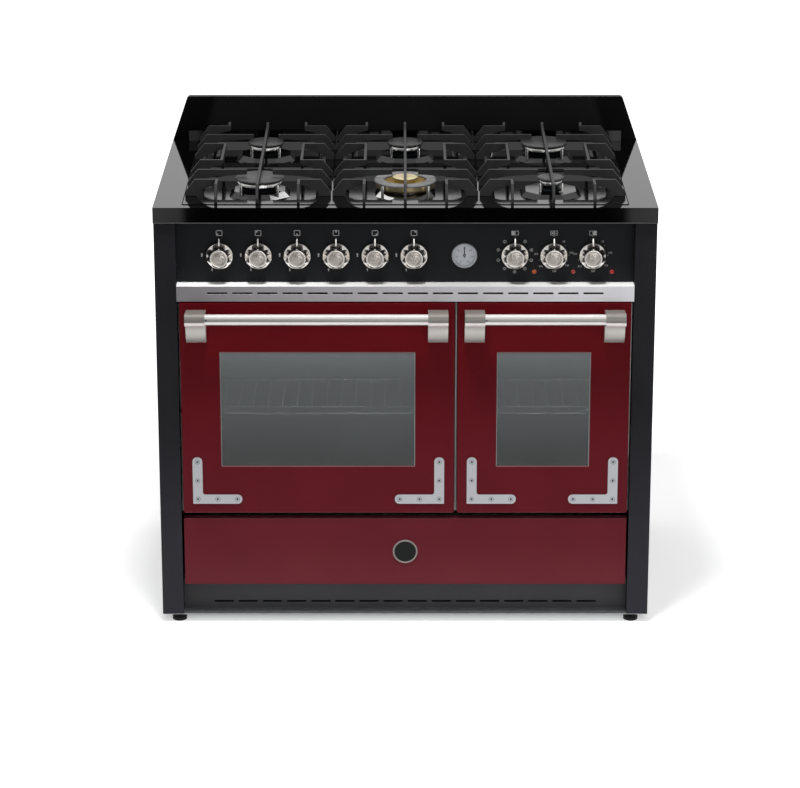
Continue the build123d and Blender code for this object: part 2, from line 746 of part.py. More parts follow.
# ---- oven front frame, seals, hinge arms ---------------------------------------------------------
frame_thickness = 2.0
seal_thickness = 4.7
frame_front = door_back + slip + seal_thickness
frame_back = frame_front + frame_thickness
frame_bottom = 232.0
cavity_side = 50.0              # cavity wall inside the door's side edge
cavity_bottom = 300.0
cavity_top = 628.0
cavity_depth = 430.0
seal_inset = 4.0                # seal's inner side from the cavity
seal_width = 9.0
seal_corner = 6.0
cavities = {name: (x, w / 2 - cavity_side) for name, (x, w) in doors.items()}

with BuildPart() as oven_front_frame:
    block((-column_inner, column_inner), (frame_front, frame_back), (frame_bottom, vent_top - sheet))
    for x, half in cavities.values():
        block((x - half, x + half), (frame_front - past, frame_back + past), (cavity_bottom, cavity_top),
              mode=Mode.SUBTRACT)
save("oven_front_frame", oven_front_frame.part)

with BuildPart() as door_seals:
    for x, half in cavities.values():
        height = cavity_top - cavity_bottom
        inner = 2 * (half + seal_inset), height + 2 * seal_inset
        with BuildSketch(Plane(origin=(x, deep(frame_front), (cavity_top + cavity_bottom) / 2),
                               x_dir=(1, 0, 0), z_dir=(0, -1, 0))) as ring:
            RectangleRounded(inner[0] + 2 * seal_width, inner[1] + 2 * seal_width,
                             seal_corner + seal_width)
            RectangleRounded(inner[0], inner[1], seal_corner, mode=Mode.SUBTRACT)
        extrude(ring.sketch, amount=seal_thickness)
save("door_seals", door_seals.part)

with BuildPart() as door_hinge_arms:
    for x, w in doors.values():
        for hx in hinge_xs(x, w):
            block((hx - hinge_arm / 2, hx + hinge_arm / 2), (hinge_d, frame_front),
                  (hinge_z - hinge_arm_height / 2, hinge_z + hinge_arm_height / 2))
            rod_x((hx - hinge_arm / 2, hx + hinge_arm / 2), hinge_d, hinge_z, hinge_eye)
            pin = hinge_arm / 2 + cheek_gap + cheek_thickness + past
            rod_x((hx - pin, hx + pin), hinge_d, hinge_z, hinge_radius)
save("door_hinge_arms", door_hinge_arms.part)

# ---- oven liners with their shelf ledges ---------------------------------------------------------
liner_flange = 12.0
ledge_reach = 9.0
ledge_height = 4.0
ledge_pitch = 76.0
ledge_count = 4
first_ledge = 61.0              # lowest ledge above the cavity floor
ledge_ends = (24.0, 20.0)       # ledges stop short of the frame and of the rear wall
fan_height = 164.0              # fan axis above the cavity floor
fan_shaft = 5.0
fan_shaft_running = 0.05
fan_hole = 8.0
cavity_back = frame_back + cavity_depth
fan_z = cavity_bottom + fan_height


def make_liner(x, half, shaft_hole_radius):
    """An open-fronted enamelled box with a front flange and shelf ledges on its side walls."""
    with BuildPart() as liner:
        block((x - half - sheet, x + half + sheet), (frame_back, cavity_back + sheet),
              (cavity_bottom - sheet, cavity_top + sheet))
        block((x - half - liner_flange, x + half + liner_flange), (frame_back, frame_back + sheet),
              (cavity_bottom - liner_flange, cavity_top + liner_flange))
        block((x - half, x + half), (frame_back - past, cavity_back), (cavity_bottom, cavity_top),
              mode=Mode.SUBTRACT)
        for i in range(ledge_count):
            z = cavity_bottom + first_ledge + i * ledge_pitch
            for side in (-1, 1):
                span = sorted((x + side * half, x + side * (half - ledge_reach)))
                block(span, (frame_back + ledge_ends[0], cavity_back - ledge_ends[1]),
                      (z, z + ledge_height))
        if shaft_hole_radius:
            rod_y(x, fan_z, shaft_hole_radius, (cavity_back - past, cavity_back + sheet + past),
                  mode=Mode.SUBTRACT)
    return liner


# the left oven's fan: a slotted cover, a motor behind the liner, and the impeller on its shaft
cover_radius = 88.0
cover_depth = 28.0
cover_slots = 20
motor_radius = 34.0
motor_depth = 42.0
impeller_radius = 68.0
impeller_width = 16.0
impeller_blades = 12
impeller_hub = 11.0
impeller_sheet = 1.2
impeller_gap = 5.0              # impeller in front of the liner's rear wall
blade_length = 28.0
blade_inset = 3.0               # blade inside the impeller's edge
shaft_end = 4.0                 # shaft's end inside the motor's rear face
cover_round = 6.0
vent_radius = 52.0
vent_slot = (44.0, 5.0)
fan_x = left_door_x
motor_front = cavity_back + sheet
cover_front = cavity_back - cover_depth

with BuildPart() as fan_cover:
    turned_y(fan_x, cavity_back, fan_z, [
        (0, cover_depth - sheet), (cover_radius - cover_round, cover_depth - sheet),
        (cover_radius - sheet, cover_depth - cover_round), (cover_radius - sheet, 0),
        (cover_radius, 0), (cover_radius, cover_depth - cover_round),
        (cover_radius - cover_round, cover_depth), (0, cover_depth)])
    with BuildSketch(Plane(origin=(fan_x, deep(cover_front), fan_z), x_dir=(1, 0, 0),
                           z_dir=(0, -1, 0))) as vents:
        with PolarLocations(vent_radius, cover_slots):
            SlotOverall(*vent_slot)
    extrude(vents.sketch, amount=3 * sheet, both=True, mode=Mode.SUBTRACT)

with BuildPart() as fan_motor:
    rod_y(fan_x, fan_z, motor_radius, (motor_front, motor_front + motor_depth))
    rod_y(fan_x, fan_z, fan_shaft + fan_shaft_running,
          (motor_front - past, motor_front + motor_depth + past), mode=Mode.SUBTRACT)

with BuildPart() as oven_fan_impeller:
    back = cavity_back - impeller_gap
    rod_y(fan_x, fan_z, fan_shaft, (back - impeller_width, motor_front + motor_depth - shaft_end))
    rod_y(fan_x, fan_z, impeller_hub, (back - impeller_width, back))
    rod_y(fan_x, fan_z, impeller_radius, (back - impeller_sheet, back))
    hub = (fan_x, deep(back - impeller_width / 2), fan_z)
    for i in range(impeller_blades):
        with Locations(Location(hub, (0, i * 360 / impeller_blades, 0))):
            with Locations((impeller_radius - blade_inset - blade_length / 2, 0, 0)):
                Box(blade_length, impeller_width, impeller_sheet)
save("oven_fan_impeller", oven_fan_impeller.part)

left_liner = make_liner(*cavities["left"], fan_hole)
right_liner = make_liner(*cavities["right"], 0)
save("left_oven_liner", group(left_liner, fan_cover, fan_motor))
save("right_oven_liner", right_liner.part)

# ---- racks and heating elements ------------------------------------------------------------------
rack_rod = 3.0                  # side rods, which ride on the ledges
rack_cross = 2.5                # cross rods, thinner than the side rods
rack_wire = 1.8
rack_wire_pitch = 30.0
rack_side_gap = 2.0
rack_level = 1
rack_front_gap = 28.0
rack_rear_gap = 36.0
rack_wire_margin = 12.0         # first wire from the rack's side rod
rack_z = cavity_bottom + first_ledge + rack_level * ledge_pitch + ledge_height + slip + rack_rod
rack_d = (frame_back + rack_front_gap, cover_front - rack_rear_gap + cover_depth)

with BuildPart() as oven_racks:
    for x, half in cavities.values():
        rod_half = half - rack_side_gap - rack_rod
        for side in (-1, 1):
            rod_y(x + side * rod_half, rack_z, rack_rod, rack_d)
        for d in (rack_d[0] + rack_rod, sum(rack_d) / 2, rack_d[1] - rack_rod):
            rod_x((x - rod_half, x + rod_half), d, rack_z, rack_cross)
        wires = int(2 * (rod_half - rack_wire_margin) / rack_wire_pitch)
        for i in range(wires + 1):
            wx = x + (i - wires / 2) * rack_wire_pitch
            rod_y(wx, rack_z, rack_wire, (rack_d[0] + past, rack_d[1] - past))
save("oven_racks", oven_racks.part)

element_radius = 3.25
element_bend = 22.0
element_drop = 20.0
element_legs = {"left": 4, "right": 2}
element_spacing = {"left": 105.0, "right": 136.5}
element_near = 70.0             # front bends behind the front frame
element_far = 60.0              # rear bends in front of the rear wall
element_z = cavity_top - element_drop

with BuildPart() as heating_elements:
    for name, (x, half) in cavities.items():
        legs = element_legs[name]
        spacing = element_spacing[name]
        near, far = frame_back + element_near, cavity_back - element_far
        xs = [x + (i - (legs - 1) / 2) * spacing for i in range(legs)]
        route = [(xs[0], deep(cavity_back), element_z)]
        for i in range(0, legs, 2):
            route += [(xs[i], deep(near), element_z), (xs[i + 1], deep(near), element_z)]
            if i + 2 < legs:
                route += [(xs[i + 1], deep(far), element_z), (xs[i + 2], deep(far), element_z)]
        route += [(xs[-1], deep(cavity_back), element_z)]
        tube(route, element_radius, element_bend)
save("heating_elements", heating_elements.part)

# ---- doors ---------------------------------------------------------------------------------------
edge_round = 1.2
trim_inset = 20.0
trim_arm = 100.0
trim_width = 20.0
trim_thickness = 2.0
trim_fillet = 5.0
trim_end = 9.5                  # rounding of the arms' ends
screw_pitch = 40.0
screw_head = 4.0
screw_shank = 2.0
screw_length = 9.0
bar_fit = 0.05
bar_inset = 1.0
bar_chamfer = 1.0
screw_fit = 0.1
slot_margin = 1.5               # hinge arm's side to the slot's side
hinge_pin_room = 20.0           # half length of the pin's bore through the cheeks
bracket_toe = 5.0               # bracket's thickness at its lower end
bracket_belly = 25.0            # its thickness where the foot meets the arm
bracket_neck = 4.0
bracket_bulge = 19.0
bracket_waist = 0.3             # heights down the foot, as shares of its length
bracket_low = 0.72


def door_front_plane(x):
    """A plane on the door's face, with its origin at the middle of the door's lower edge."""
    return Plane(origin=(x, deep(door_setback), door_bottom), x_dir=(1, 0, 0), z_dir=(0, -1, 0))


def trim_corners(x, w):
    """Outer corner of each trim and the side it opens to."""
    return [(x - w / 2 + trim_inset, 1), (x + w / 2 - trim_inset, -1)]


def screw_places(x, w):
    """X and Z of every trim screw on a door."""
    inset = trim_width / 2
    steps = [inset, inset + screw_pitch, inset + 2 * screw_pitch]
    places = []
    for cx, side in trim_corners(x, w):
        places += [(cx + side * s, door_bottom + trim_inset + inset) for s in steps]
        places += [(cx + side * inset, door_bottom + trim_inset + s) for s in steps[1:]]
    return places


def cut_hinge_slots(x, w):
    """Slots for the hinge arms through the lower and rear walls of a door's pans."""
    for hx in hinge_xs(x, w):
        half = hinge_arm / 2 + slot_margin
        block((hx - half, hx + half), (hinge_d - hinge_eye, door_back + past),
              (door_bottom - past, hinge_z + hinge_eye), mode=Mode.SUBTRACT)


def window(x, w, d):
    """The window's extents on a door, through the depths d."""
    return ((x - w / 2 + window_side, x + w / 2 - window_side), d,
            (door_bottom + window_bottom, door_top - window_top))


def make_door_panel(x, w):
    """The enamelled outer pan, open at the back, with its window and screw holes."""
    front = door_setback
    back = front + door_pan_depth
    through = (front - past, front + sheet + past)
    with BuildPart() as panel:
        block((x - w / 2, x + w / 2), (front, back), (door_bottom, door_top))
        fillet(panel.edges().filter_by(Axis.Y), edge_round)
        fillet(panel.faces().sort_by(Axis.Y)[0].edges(), edge_round)
        block((x - w / 2 + sheet, x + w / 2 - sheet), (front + sheet, back + past),
              (door_bottom + sheet, door_top - sheet), mode=Mode.SUBTRACT)
        block(*window(x, w, through), mode=Mode.SUBTRACT)
        for sx, sz in screw_places(x, w):
            rod_y(sx, sz, screw_shank + screw_fit, through, mode=Mode.SUBTRACT)
        cut_hinge_slots(x, w)
    return panel.part


def make_door_inner(x, w):
    """The inner pan with its window and the hinge cheeks."""
    side = w / 2 - sheet
    low = hinge_z - inner_pan_drop
    high = door_top - sheet
    front = door_setback + door_pan_depth - inner_pan_lap
    with BuildPart() as inner:
        block((x - side, x + side), (front, door_back), (low, high))
        block((x - side + sheet, x + side - sheet), (front - past, door_back - sheet),
              (low + sheet, high - sheet), mode=Mode.SUBTRACT)
        block(*window(x, w, (door_back - sheet - past, door_back + past)), mode=Mode.SUBTRACT)
        cut_hinge_slots(x, w)
        cheek = hinge_arm / 2 + cheek_gap
        for hx in hinge_xs(x, w):
            for a, b in ((-cheek - cheek_thickness, -cheek), (cheek, cheek + cheek_thickness)):
                block((hx + a, hx + b), (door_setback + sheet, door_back - sheet),
                      (low + sheet / 2, low + cheek_height))
            rod_x((hx - hinge_pin_room, hx + hinge_pin_room), hinge_d, hinge_z,
                  hinge_radius + hinge_running, mode=Mode.SUBTRACT)
    return inner.part


def make_door_glass(x, w):
    """The outer pane behind the front sheet and the inner pane before the rear sheet."""
    span = (x - w / 2 + window_side - glass_overlap, x + w / 2 - window_side + glass_overlap)
    heights = (door_bottom + window_bottom - glass_overlap, door_top - window_top + glass_overlap)
    with BuildPart() as glass:
        block(span, (door_setback + sheet, door_setback + sheet + glass_thickness), heights)
        block(span, (door_back - sheet - glass_thickness, door_back - sheet), heights)
    return glass.part


def handle_ends(x, w):
    """X of the outer sides of the two handle brackets."""
    return (x - w / 2 + handle_inset, x + w / 2 - handle_inset)


handle_z = door_top - handle_below_door_top


def make_brackets(x, w):
    """The two brackets: a convex foot on the door's face that rises to a ring round the bar."""
    left, right = handle_ends(x, w)
    toe = (bracket_toe, -bracket_foot)
    belly = (bracket_belly, -bracket_waist * bracket_foot)
    arm_end = handle_standoff - bracket_neck / 2
    with BuildPart() as brackets:
        for bx in (left + bracket_width / 2, right - bracket_width / 2):
            with BuildSketch(Plane(origin=(bx, deep(door_setback), handle_z), x_dir=(0, -1, 0),
                                   z_dir=(-1, 0, 0))) as side:
                with BuildLine():
                    Polyline((0, bracket_radius - bracket_neck), (0, -bracket_foot), toe)
                    ThreePointArc(toe, (bracket_bulge, -bracket_low * bracket_foot), belly)
                    Polyline(belly, (arm_end, -bracket_neck),
                             (arm_end, bracket_radius - bracket_neck / 2),
                             (0, bracket_radius - bracket_neck))
                make_face()
                with Locations((handle_standoff, 0)):
                    Circle(bracket_radius)
            extrude(side.sketch, amount=bracket_width / 2, both=True)
        rod_x((left - past, right + past), door_setback - handle_standoff, handle_z,
              handle_diameter / 2 + bar_fit, mode=Mode.SUBTRACT)
    return brackets.part


def make_bar(x, w):
    """The round handle bar, held in both rings."""
    left, right = handle_ends(x, w)
    with BuildPart() as bar:
        rod_x((left + bar_inset, right - bar_inset), door_setback - handle_standoff, handle_z,
              handle_diameter / 2)
        chamfer(bar.edges().filter_by(GeomType.CIRCLE), bar_chamfer)
    return bar.part


def make_trims(x, w):
    """Two L-shaped corner plates, and the countersunk screws that hold them."""
    with BuildPart() as plates:
        for cx, side in trim_corners(x, w):
            with BuildSketch(door_front_plane(0)) as outline:
                with Locations((cx + side * trim_arm / 2, trim_inset + trim_width / 2)):
                    Rectangle(trim_arm, trim_width)
                with Locations((cx + side * trim_width / 2, trim_inset + trim_arm / 2)):
                    Rectangle(trim_width, trim_arm)
                ends = outline.vertices().sort_by_distance((cx, trim_inset))[-4:]
                fillet(ends, trim_end)
                notch = (cx + side * trim_width, trim_inset + trim_width)
                inside = outline.vertices().sort_by_distance(notch)[0]
                fillet(inside, trim_fillet)
            extrude(outline.sketch, amount=trim_thickness)
        for sx, sz in screw_places(x, w):
            face = door_setback - trim_thickness
            sink = screw_head / 2 + screw_fit
            rod_y(sx, sz, screw_shank + screw_fit, (face - past, door_setback + past), mode=Mode.SUBTRACT)
            middle = face + sink / 2 - screw_fit
            with Locations(Location((sx, deep(middle), sz), (90, 0, 0))):
                Cone(screw_shank, screw_head + screw_fit, sink, mode=Mode.SUBTRACT)
    with BuildPart() as screws:
        for sx, sz in screw_places(x, w):
            turned_y(sx, door_setback - trim_thickness, sz, [
                (0, 0), (screw_head, 0), (screw_shank, -screw_head / 2), (screw_shank, -screw_length),
                (0, -screw_length)])
    return group(plates, screws)


for name, (x, w) in doors.items():
    save(f"{name}_door_panel", make_door_panel(x, w))
    save(f"{name}_door_inner", make_door_inner(x, w))
    save(f"{name}_door_glass", make_door_glass(x, w))
    save(f"{name}_door_handle_bar", make_bar(x, w))
    save(f"{name}_door_handle_brackets", make_brackets(x, w))
    save(f"{name}_door_corner_trims", make_trims(x, w))

# ---- drawer --------------------------------------------------------------------------------------
medallion_diameter = 51.0
medallion_height = 3.0
medallion_rim = 2.5
medallion_sink = 1.2
box_gap = 1.0                   # drawer box's side to the runner's ledges
slide_gap = 0.5                 # slide flange's edge to the runner's web
drawer_half = column_inner - drawer_side_gap
drawer_back = drawer_setback + drawer_front_thickness
drawer_mid = (drawer_top + drawer_bottom) / 2
drawer_side = runner_outer - runner_reach - box_gap
slide_edge = runner_outer - sheet - slide_gap

with BuildPart() as drawer_front:
    block((-drawer_half, drawer_half), (drawer_setback, drawer_back), (drawer_bottom, drawer_top))
    fillet(drawer_front.edges().filter_by(Axis.Y), edge_round)
    fillet(drawer_front.faces().sort_by(Axis.Y)[0].edges(), edge_round)
    block((-drawer_half + sheet, drawer_half - sheet), (drawer_setback + sheet, drawer_back + past),
          (drawer_bottom + sheet, drawer_top - sheet), mode=Mode.SUBTRACT)
save("drawer_front", drawer_front.part)

with BuildPart() as drawer_box:
    block((-drawer_half + sheet, drawer_half - sheet), (drawer_back - sheet, drawer_back),
          (drawer_bottom + sheet, drawer_top - sheet))
    block((-drawer_side, drawer_side), (drawer_back, drawer_back + drawer_length),
          (drawer_floor, drawer_floor + drawer_wall_height))
    block((-drawer_side + sheet, drawer_side - sheet), (drawer_back, drawer_back + drawer_length - sheet),
          (drawer_floor + sheet, drawer_floor + drawer_wall_height + past), mode=Mode.SUBTRACT)
    for side in (-1, 1):
        span = sorted((side * drawer_side, side * slide_edge))
        block(span, (runner_start, drawer_back + drawer_length), (slide_z, slide_z + sheet))
save("drawer_box", drawer_box.part)

with BuildPart() as drawer_medallion:
    r = medallion_diameter / 2
    turned_y(0, drawer_setback, drawer_mid, [
        (0, 0), (r, 0), (r, medallion_height - medallion_sink), (r - medallion_sink, medallion_height),
        (r - medallion_rim, medallion_height), (r - medallion_rim - medallion_sink,
                                                medallion_height - medallion_sink),
        (0, medallion_height - medallion_sink)])
save("drawer_medallion", drawer_medallion.part)

# ---- grates: one cast grate over each pair of burners --------------------------------------------
blade = 5.5
grate_height = 34.6
finger_offset = 82.0            # side fingers from the burner's axis, both ways
finger_tip = 26.0               # cross fingers stop this far from the burner's axis
finger_height = 10.5
foot_width = 24.0
foot_face = 9.0
end_slope = 20.0
tip_rise = 6.0
rail_size = 7.0
cross_rail_offset = 44.0        # cross rail behind the front row's rear fingers
foot_side_gap = 1.0             # foot's outer face inside the pan's edge
foot_end_gap = 4.0              # end feet inside the pan's front and rear edges
arch_reach = 26.0               # arch under a cross finger, inward of its foot
arch_low = 12.0                 # arch's lower point below the finger's underside
arch_high = 4.0
end_arch = 40.0                 # arch under the front ends, behind the foot's face
end_foot = 12.0
tip_back = 10.0                 # raised rear tip's start before the rear foot
tip_end = 3.0
tip_arch = 24.0
leg_foot = 3.0
leg_top = 12.0
foot_out = pan_width / 2 - foot_side_gap
grate_z = rim_top + slip
under = grate_height - finger_height
foot_front = pan_front + foot_end_gap
foot_rear = pan_rear - foot_end_gap
leg_d = rows[0] + finger_offset + cross_rail_offset


def blade_x(x, d, points):
    """A blade across the range: an outline in X and height, centred on depth d."""
    with BuildSketch(Plane(origin=(x, deep(d), grate_z), x_dir=(1, 0, 0), z_dir=(0, -1, 0))) as outline:
        with BuildLine():
            Polyline(*points, close=True)
        make_face()
    extrude(outline.sketch, amount=blade / 2, both=True)


def blade_y(x, points):
    """A blade from front to back: an outline in depth and height, centred on x."""
    with BuildSketch(Plane(origin=(x, front_y, grate_z), x_dir=(0, 1, 0), z_dir=(1, 0, 0))) as outline:
        with BuildLine():
            Polyline(*points, close=True)
        make_face()
    extrude(outline.sketch, amount=blade / 2, both=True)


def cross_finger(side, end):
    """Outline of a cross finger from its foot at the pan's edge to its inner end."""
    points = [(foot_out, 0), (foot_out, foot_face), (foot_out - end_slope, grate_height),
              (end, grate_height),
              (end, under), (foot_out - foot_width - arch_reach, under - arch_high),
              (foot_out - foot_width - arch_high, under - arch_low), (foot_out - foot_width, 0)]
    return [(side * a, b) for a, b in points]


def make_grate(x):
    """Blades that carry the pans, on two side rails and a cross rail."""
    first, last = rows[0] - finger_offset, rows[1] + finger_offset
    mid = (rows[0] + finger_offset, rows[1] - finger_offset)
    top = grate_height
    front_end = [(foot_front, 0), (foot_front, foot_face), (foot_front + end_slope, top)]
    tip = [(foot_rear - tip_back, top), (foot_rear, top + tip_rise), (foot_rear + tip_end, top)]
    front_arch = [(foot_front + end_arch, under), (foot_front + 2 * end_foot, under - 2 * arch_high),
                  (foot_front + end_foot, 0)]
    leg = [(leg_d + leg_top, under), (leg_d + leg_foot, 0), (leg_d - leg_foot, 0),
           (leg_d - leg_top, under)]
    rear_foot = [(foot_rear + tip_end, 0), (foot_rear - end_foot, 0), (foot_rear - tip_arch, under)]
    with BuildPart() as grate:
        for d in [row + step for row in rows for step in (-finger_offset, 0, finger_offset)]:
            centre = d in rows
            for side in (-1, 1):
                blade_x(x, d, cross_finger(side, finger_tip if centre else finger_offset - blade / 2))
        blade_y(x, front_end + tip + rear_foot + leg + front_arch)
        for side in (-1, 1):
            sx = x + side * finger_offset
            blade_y(sx, front_end + [(first + blade / 2, top), (first + blade / 2, under)] + front_arch)
            blade_y(sx, [(mid[0] - blade / 2, top), (mid[1] + blade / 2, top),
                         (mid[1] + blade / 2, under)] + leg + [(mid[0] - blade / 2, under)])
            blade_y(sx, [(last - blade / 2, top)] + tip
                    + [(foot_rear + tip_end, under), (last - blade / 2, under)])
            rail = sorted(x + side * (foot_out - foot_width + step) for step in (0, rail_size))
            block(rail, (first, last), (grate_z, grate_z + rail_size))
        edge = foot_out - foot_width + rail_size / 2
        block((x - edge, x + edge), (leg_d - leg_foot, leg_d + leg_foot),
              (grate_z, grate_z + rail_size - past))
    return grate.part


for name, x in zip(("left", "centre", "right"), pan_x):
    save(f"{name}_grate", make_grate(x))
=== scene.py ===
import json
from math import cos, hypot, pi, radians, sin

import bmesh
import bpy
from mathutils import Matrix, Vector

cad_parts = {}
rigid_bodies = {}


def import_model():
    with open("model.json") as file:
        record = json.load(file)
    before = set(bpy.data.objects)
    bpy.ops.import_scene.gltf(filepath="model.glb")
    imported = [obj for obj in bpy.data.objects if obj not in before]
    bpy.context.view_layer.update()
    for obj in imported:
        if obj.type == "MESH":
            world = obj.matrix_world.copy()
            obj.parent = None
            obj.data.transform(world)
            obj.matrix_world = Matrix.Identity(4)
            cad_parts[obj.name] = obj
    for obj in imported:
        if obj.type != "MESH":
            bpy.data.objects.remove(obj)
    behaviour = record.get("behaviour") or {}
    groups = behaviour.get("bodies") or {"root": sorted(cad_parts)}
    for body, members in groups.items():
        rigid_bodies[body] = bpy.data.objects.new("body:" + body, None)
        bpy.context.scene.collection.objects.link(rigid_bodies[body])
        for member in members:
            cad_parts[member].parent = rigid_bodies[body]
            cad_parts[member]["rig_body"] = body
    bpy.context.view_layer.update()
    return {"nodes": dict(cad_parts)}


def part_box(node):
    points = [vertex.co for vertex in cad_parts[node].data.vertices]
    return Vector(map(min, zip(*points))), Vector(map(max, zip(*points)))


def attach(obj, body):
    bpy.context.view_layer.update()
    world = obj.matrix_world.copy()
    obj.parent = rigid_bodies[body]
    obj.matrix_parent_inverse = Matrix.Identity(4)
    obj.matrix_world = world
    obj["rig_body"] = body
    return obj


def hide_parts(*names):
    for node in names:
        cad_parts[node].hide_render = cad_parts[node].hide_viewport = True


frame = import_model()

# Looks of a freestanding gas range. Metres, +Z up, the front faces -Y.
nodes = frame["nodes"]
SIDES = ("left", "right")

# ---- places that the pieces share, in metres ----
WORKTOP_TOP = 0.885
WORKTOP_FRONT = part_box("worktop")[0].y
DOOR_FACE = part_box("left_door_panel")[0].y
FRAME_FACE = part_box("oven_front_frame")[0].y
PANEL_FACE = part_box("control_panel")[0].y
DOORS = {side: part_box(f"{side}_door_panel") for side in SIDES}
CONTROL_Z = 0.778  # axis of the knobs, the thermometer and the lamps
KNOB_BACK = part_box("gas_knob_1")[1].y


def middle_x(node):
    """X of the middle of a node."""
    return sum(corner.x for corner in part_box(node)) / 2


GAS_X = [middle_x(f"gas_knob_{i}") for i in range(1, 7)]
OVEN_X = [middle_x(f"oven_knob_{i}") for i in range(1, 4)]
DIAL_X = middle_x("thermometer_case")


# ---- node helpers ----
def srgb(text):
    """Linear colour of a hex sRGB value."""
    parts = [int(text[i:i + 2], 16) / 255 for i in (0, 2, 4)]
    return [c / 12.92 if c <= 0.04045 else ((c + 0.055) / 1.055) ** 2.4 for c in parts] + [1.0]


MAT = {}


class Tree:
    """A short way to build a node tree on one kind of texture coordinate."""

    def __init__(self, tree, coordinates):
        self.tree = tree
        self.coord = self.new("ShaderNodeTexCoord").outputs[coordinates]

    def new(self, kind, **values):
        node = self.tree.nodes.new(kind)
        for key, value in values.items():
            setattr(node, key, value)
        return node

    def link(self, a, b):
        self.tree.links.new(a, b)

    def span(self, value, low, high, to_low=0.0, to_high=1.0, smooth=False):
        node = self.new("ShaderNodeMapRange")
        node.interpolation_type = "SMOOTHSTEP" if smooth else "LINEAR"
        for key, number in (("From Min", low), ("From Max", high), ("To Min", to_low), ("To Max", to_high)):
            node.inputs[key].default_value = number
        self.link(value, node.inputs["Value"])
        return node.outputs["Result"]

    def math(self, kind, a, b=None):
        node = self.new("ShaderNodeMath", operation=kind)
        for socket, value in zip(node.inputs, (a, b)):
            if value is None:
                continue
            if isinstance(value, (int, float)):
                socket.default_value = value
            else:
                self.link(value, socket)
        return node.outputs[0]

    def axis(self, letter):
        node = self.new("ShaderNodeSeparateXYZ")
        self.link(self.coord, node.inputs[0])
        return node.outputs[letter]


class Nodes(Tree):
    """The node tree of one new material, which MAT keeps by its name."""

    def __init__(self, name):
        self.mat = MAT[name] = bpy.data.materials.new(name)
        self.mat.use_nodes = True
        super().__init__(self.mat.node_tree, "Object")
        self.bsdf = self.tree.nodes["Principled BSDF"]
        self.out = self.tree.nodes["Material Output"]

    def put(self, **values):
        """Constant values on the principled shader's sockets."""
        for key, value in values.items():
            self.bsdf.inputs[key.replace("_", " ")].default_value = value

    def stretched(self, scale):
        node = self.new("ShaderNodeMapping")
        node.inputs["Scale"].default_value = scale
        self.link(self.coord, node.inputs["Vector"])
        return node.outputs["Vector"]

    def noise(self, scale, detail=3.0, rough=0.55, vector=None):
        node = self.new("ShaderNodeTexNoise")
        node.inputs["Scale"].default_value = scale
        node.inputs["Detail"].default_value = detail
        node.inputs["Roughness"].default_value = rough
        self.link(vector or self.coord, node.inputs["Vector"])
        return node.outputs["Fac"]

    def cells(self, scale):
        node = self.new("ShaderNodeTexVoronoi")
        node.inputs["Scale"].default_value = scale
        self.link(self.coord, node.inputs["Vector"])
        return node.outputs["Distance"]

    def mix(self, fac, a, b):
        """Colour a where fac is 0 and b where it is 1. Each is a colour or a socket."""
        node = self.new("ShaderNodeMix", data_type="RGBA")
        self.link(fac, node.inputs["Factor"])
        for socket, value in ((node.inputs[6], a), (node.inputs[7], b)):
            if isinstance(value, (list, tuple)):
                socket.default_value = value
            else:
                self.link(value, socket)
        return node.outputs[2]

    def bump(self, height, strength, distance=0.001):
        node = self.new("ShaderNodeBump")
        node.inputs["Strength"].default_value = strength
        node.inputs["Distance"].default_value = distance
        self.link(height, node.inputs["Height"])
        if self.bsdf.inputs["Normal"].links:
            self.link(self.bsdf.inputs["Normal"].links[0].from_socket, node.inputs["Normal"])
        self.link(node.outputs["Normal"], self.bsdf.inputs["Normal"])

    def colour(self, socket):
        self.link(socket, self.bsdf.inputs["Base Color"])

    def rough(self, socket):
        self.link(socket, self.bsdf.inputs["Roughness"])

    def normal(self, axis):
        """One axis of the surface's own direction."""
        split = self.new("ShaderNodeSeparateXYZ")
        self.link(self.new("ShaderNodeNewGeometry").outputs["Normal"], split.inputs[0])
        return split.outputs[axis]


def tinted(text, share):
    """Linear colour of a hex sRGB value, made paler or darker."""
    return [min(1.0, c * share) for c in srgb(text)[:3]] + [1.0]


ALONG = (2.0, 700.0, 700.0)  # scale of drawn lines that run along X


def painted(name, colour, rough, peel=0.02, speck=0.0, level=0.5, low=None, fade=(0.0, 1.0)):
    """Paint or enamel: faint clouding, uneven gloss, orange peel, and dust specks. With low, painted light
    and shade: the colour turns to low below the fade heights.
    """
    n = Nodes(name)
    cloud = n.noise(7.0, 4.0)
    base = n.mix(n.span(cloud, 0.3, 0.7), tinted(colour, 0.93), tinted(colour, 1.07))
    # painted light and shade: paler low down and darker higher up, as the light falls
    if low:
        height = n.span(n.axis("Z"), fade[0], fade[1], 0.0, 1.0, smooth=True)
        lower = n.mix(n.span(cloud, 0.3, 0.7), tinted(low, 0.95), tinted(low, 1.05))
        base = n.mix(height, lower, base)
    if speck:
        base = n.mix(n.span(n.noise(900.0, 2.0), 0.62, 0.75, 0.0, speck), base, tinted(colour, 2.4))
    n.colour(base)
    n.rough(n.span(n.noise(23.0, 3.0), 0.25, 0.75, rough * 0.86, rough * 1.14))
    n.put(Specular_IOR_Level=level)
    n.bump(n.noise(260.0, 2.0), peel, 0.0005)


def brushed(name, colour, rough, grain=ALONG, depth=0.08, stain=0.05):
    """Brushed or drawn metal: fine lines along one direction and faint smudges."""
    n = Nodes(name)
    lines = n.noise(1.0, 3.0, 0.7, n.stretched(grain))
    smudge = n.noise(9.0, 4.0)
    base = n.mix(n.span(lines, 0.3, 0.7), tinted(colour, 0.93), tinted(colour, 1.05))
    base = n.mix(n.span(smudge, 0.45, 0.8, 0.0, stain * 4), base, tinted(colour, 0.8))
    n.colour(base)
    worn = n.span(smudge, 0.3, 0.8, 0.0, stain)
    n.rough(n.math("ADD", n.span(lines, 0.2, 0.8, rough * 0.8, rough * 1.2), worn))
    n.put(Metallic=1.0)
    n.bump(lines, depth, 0.0004)


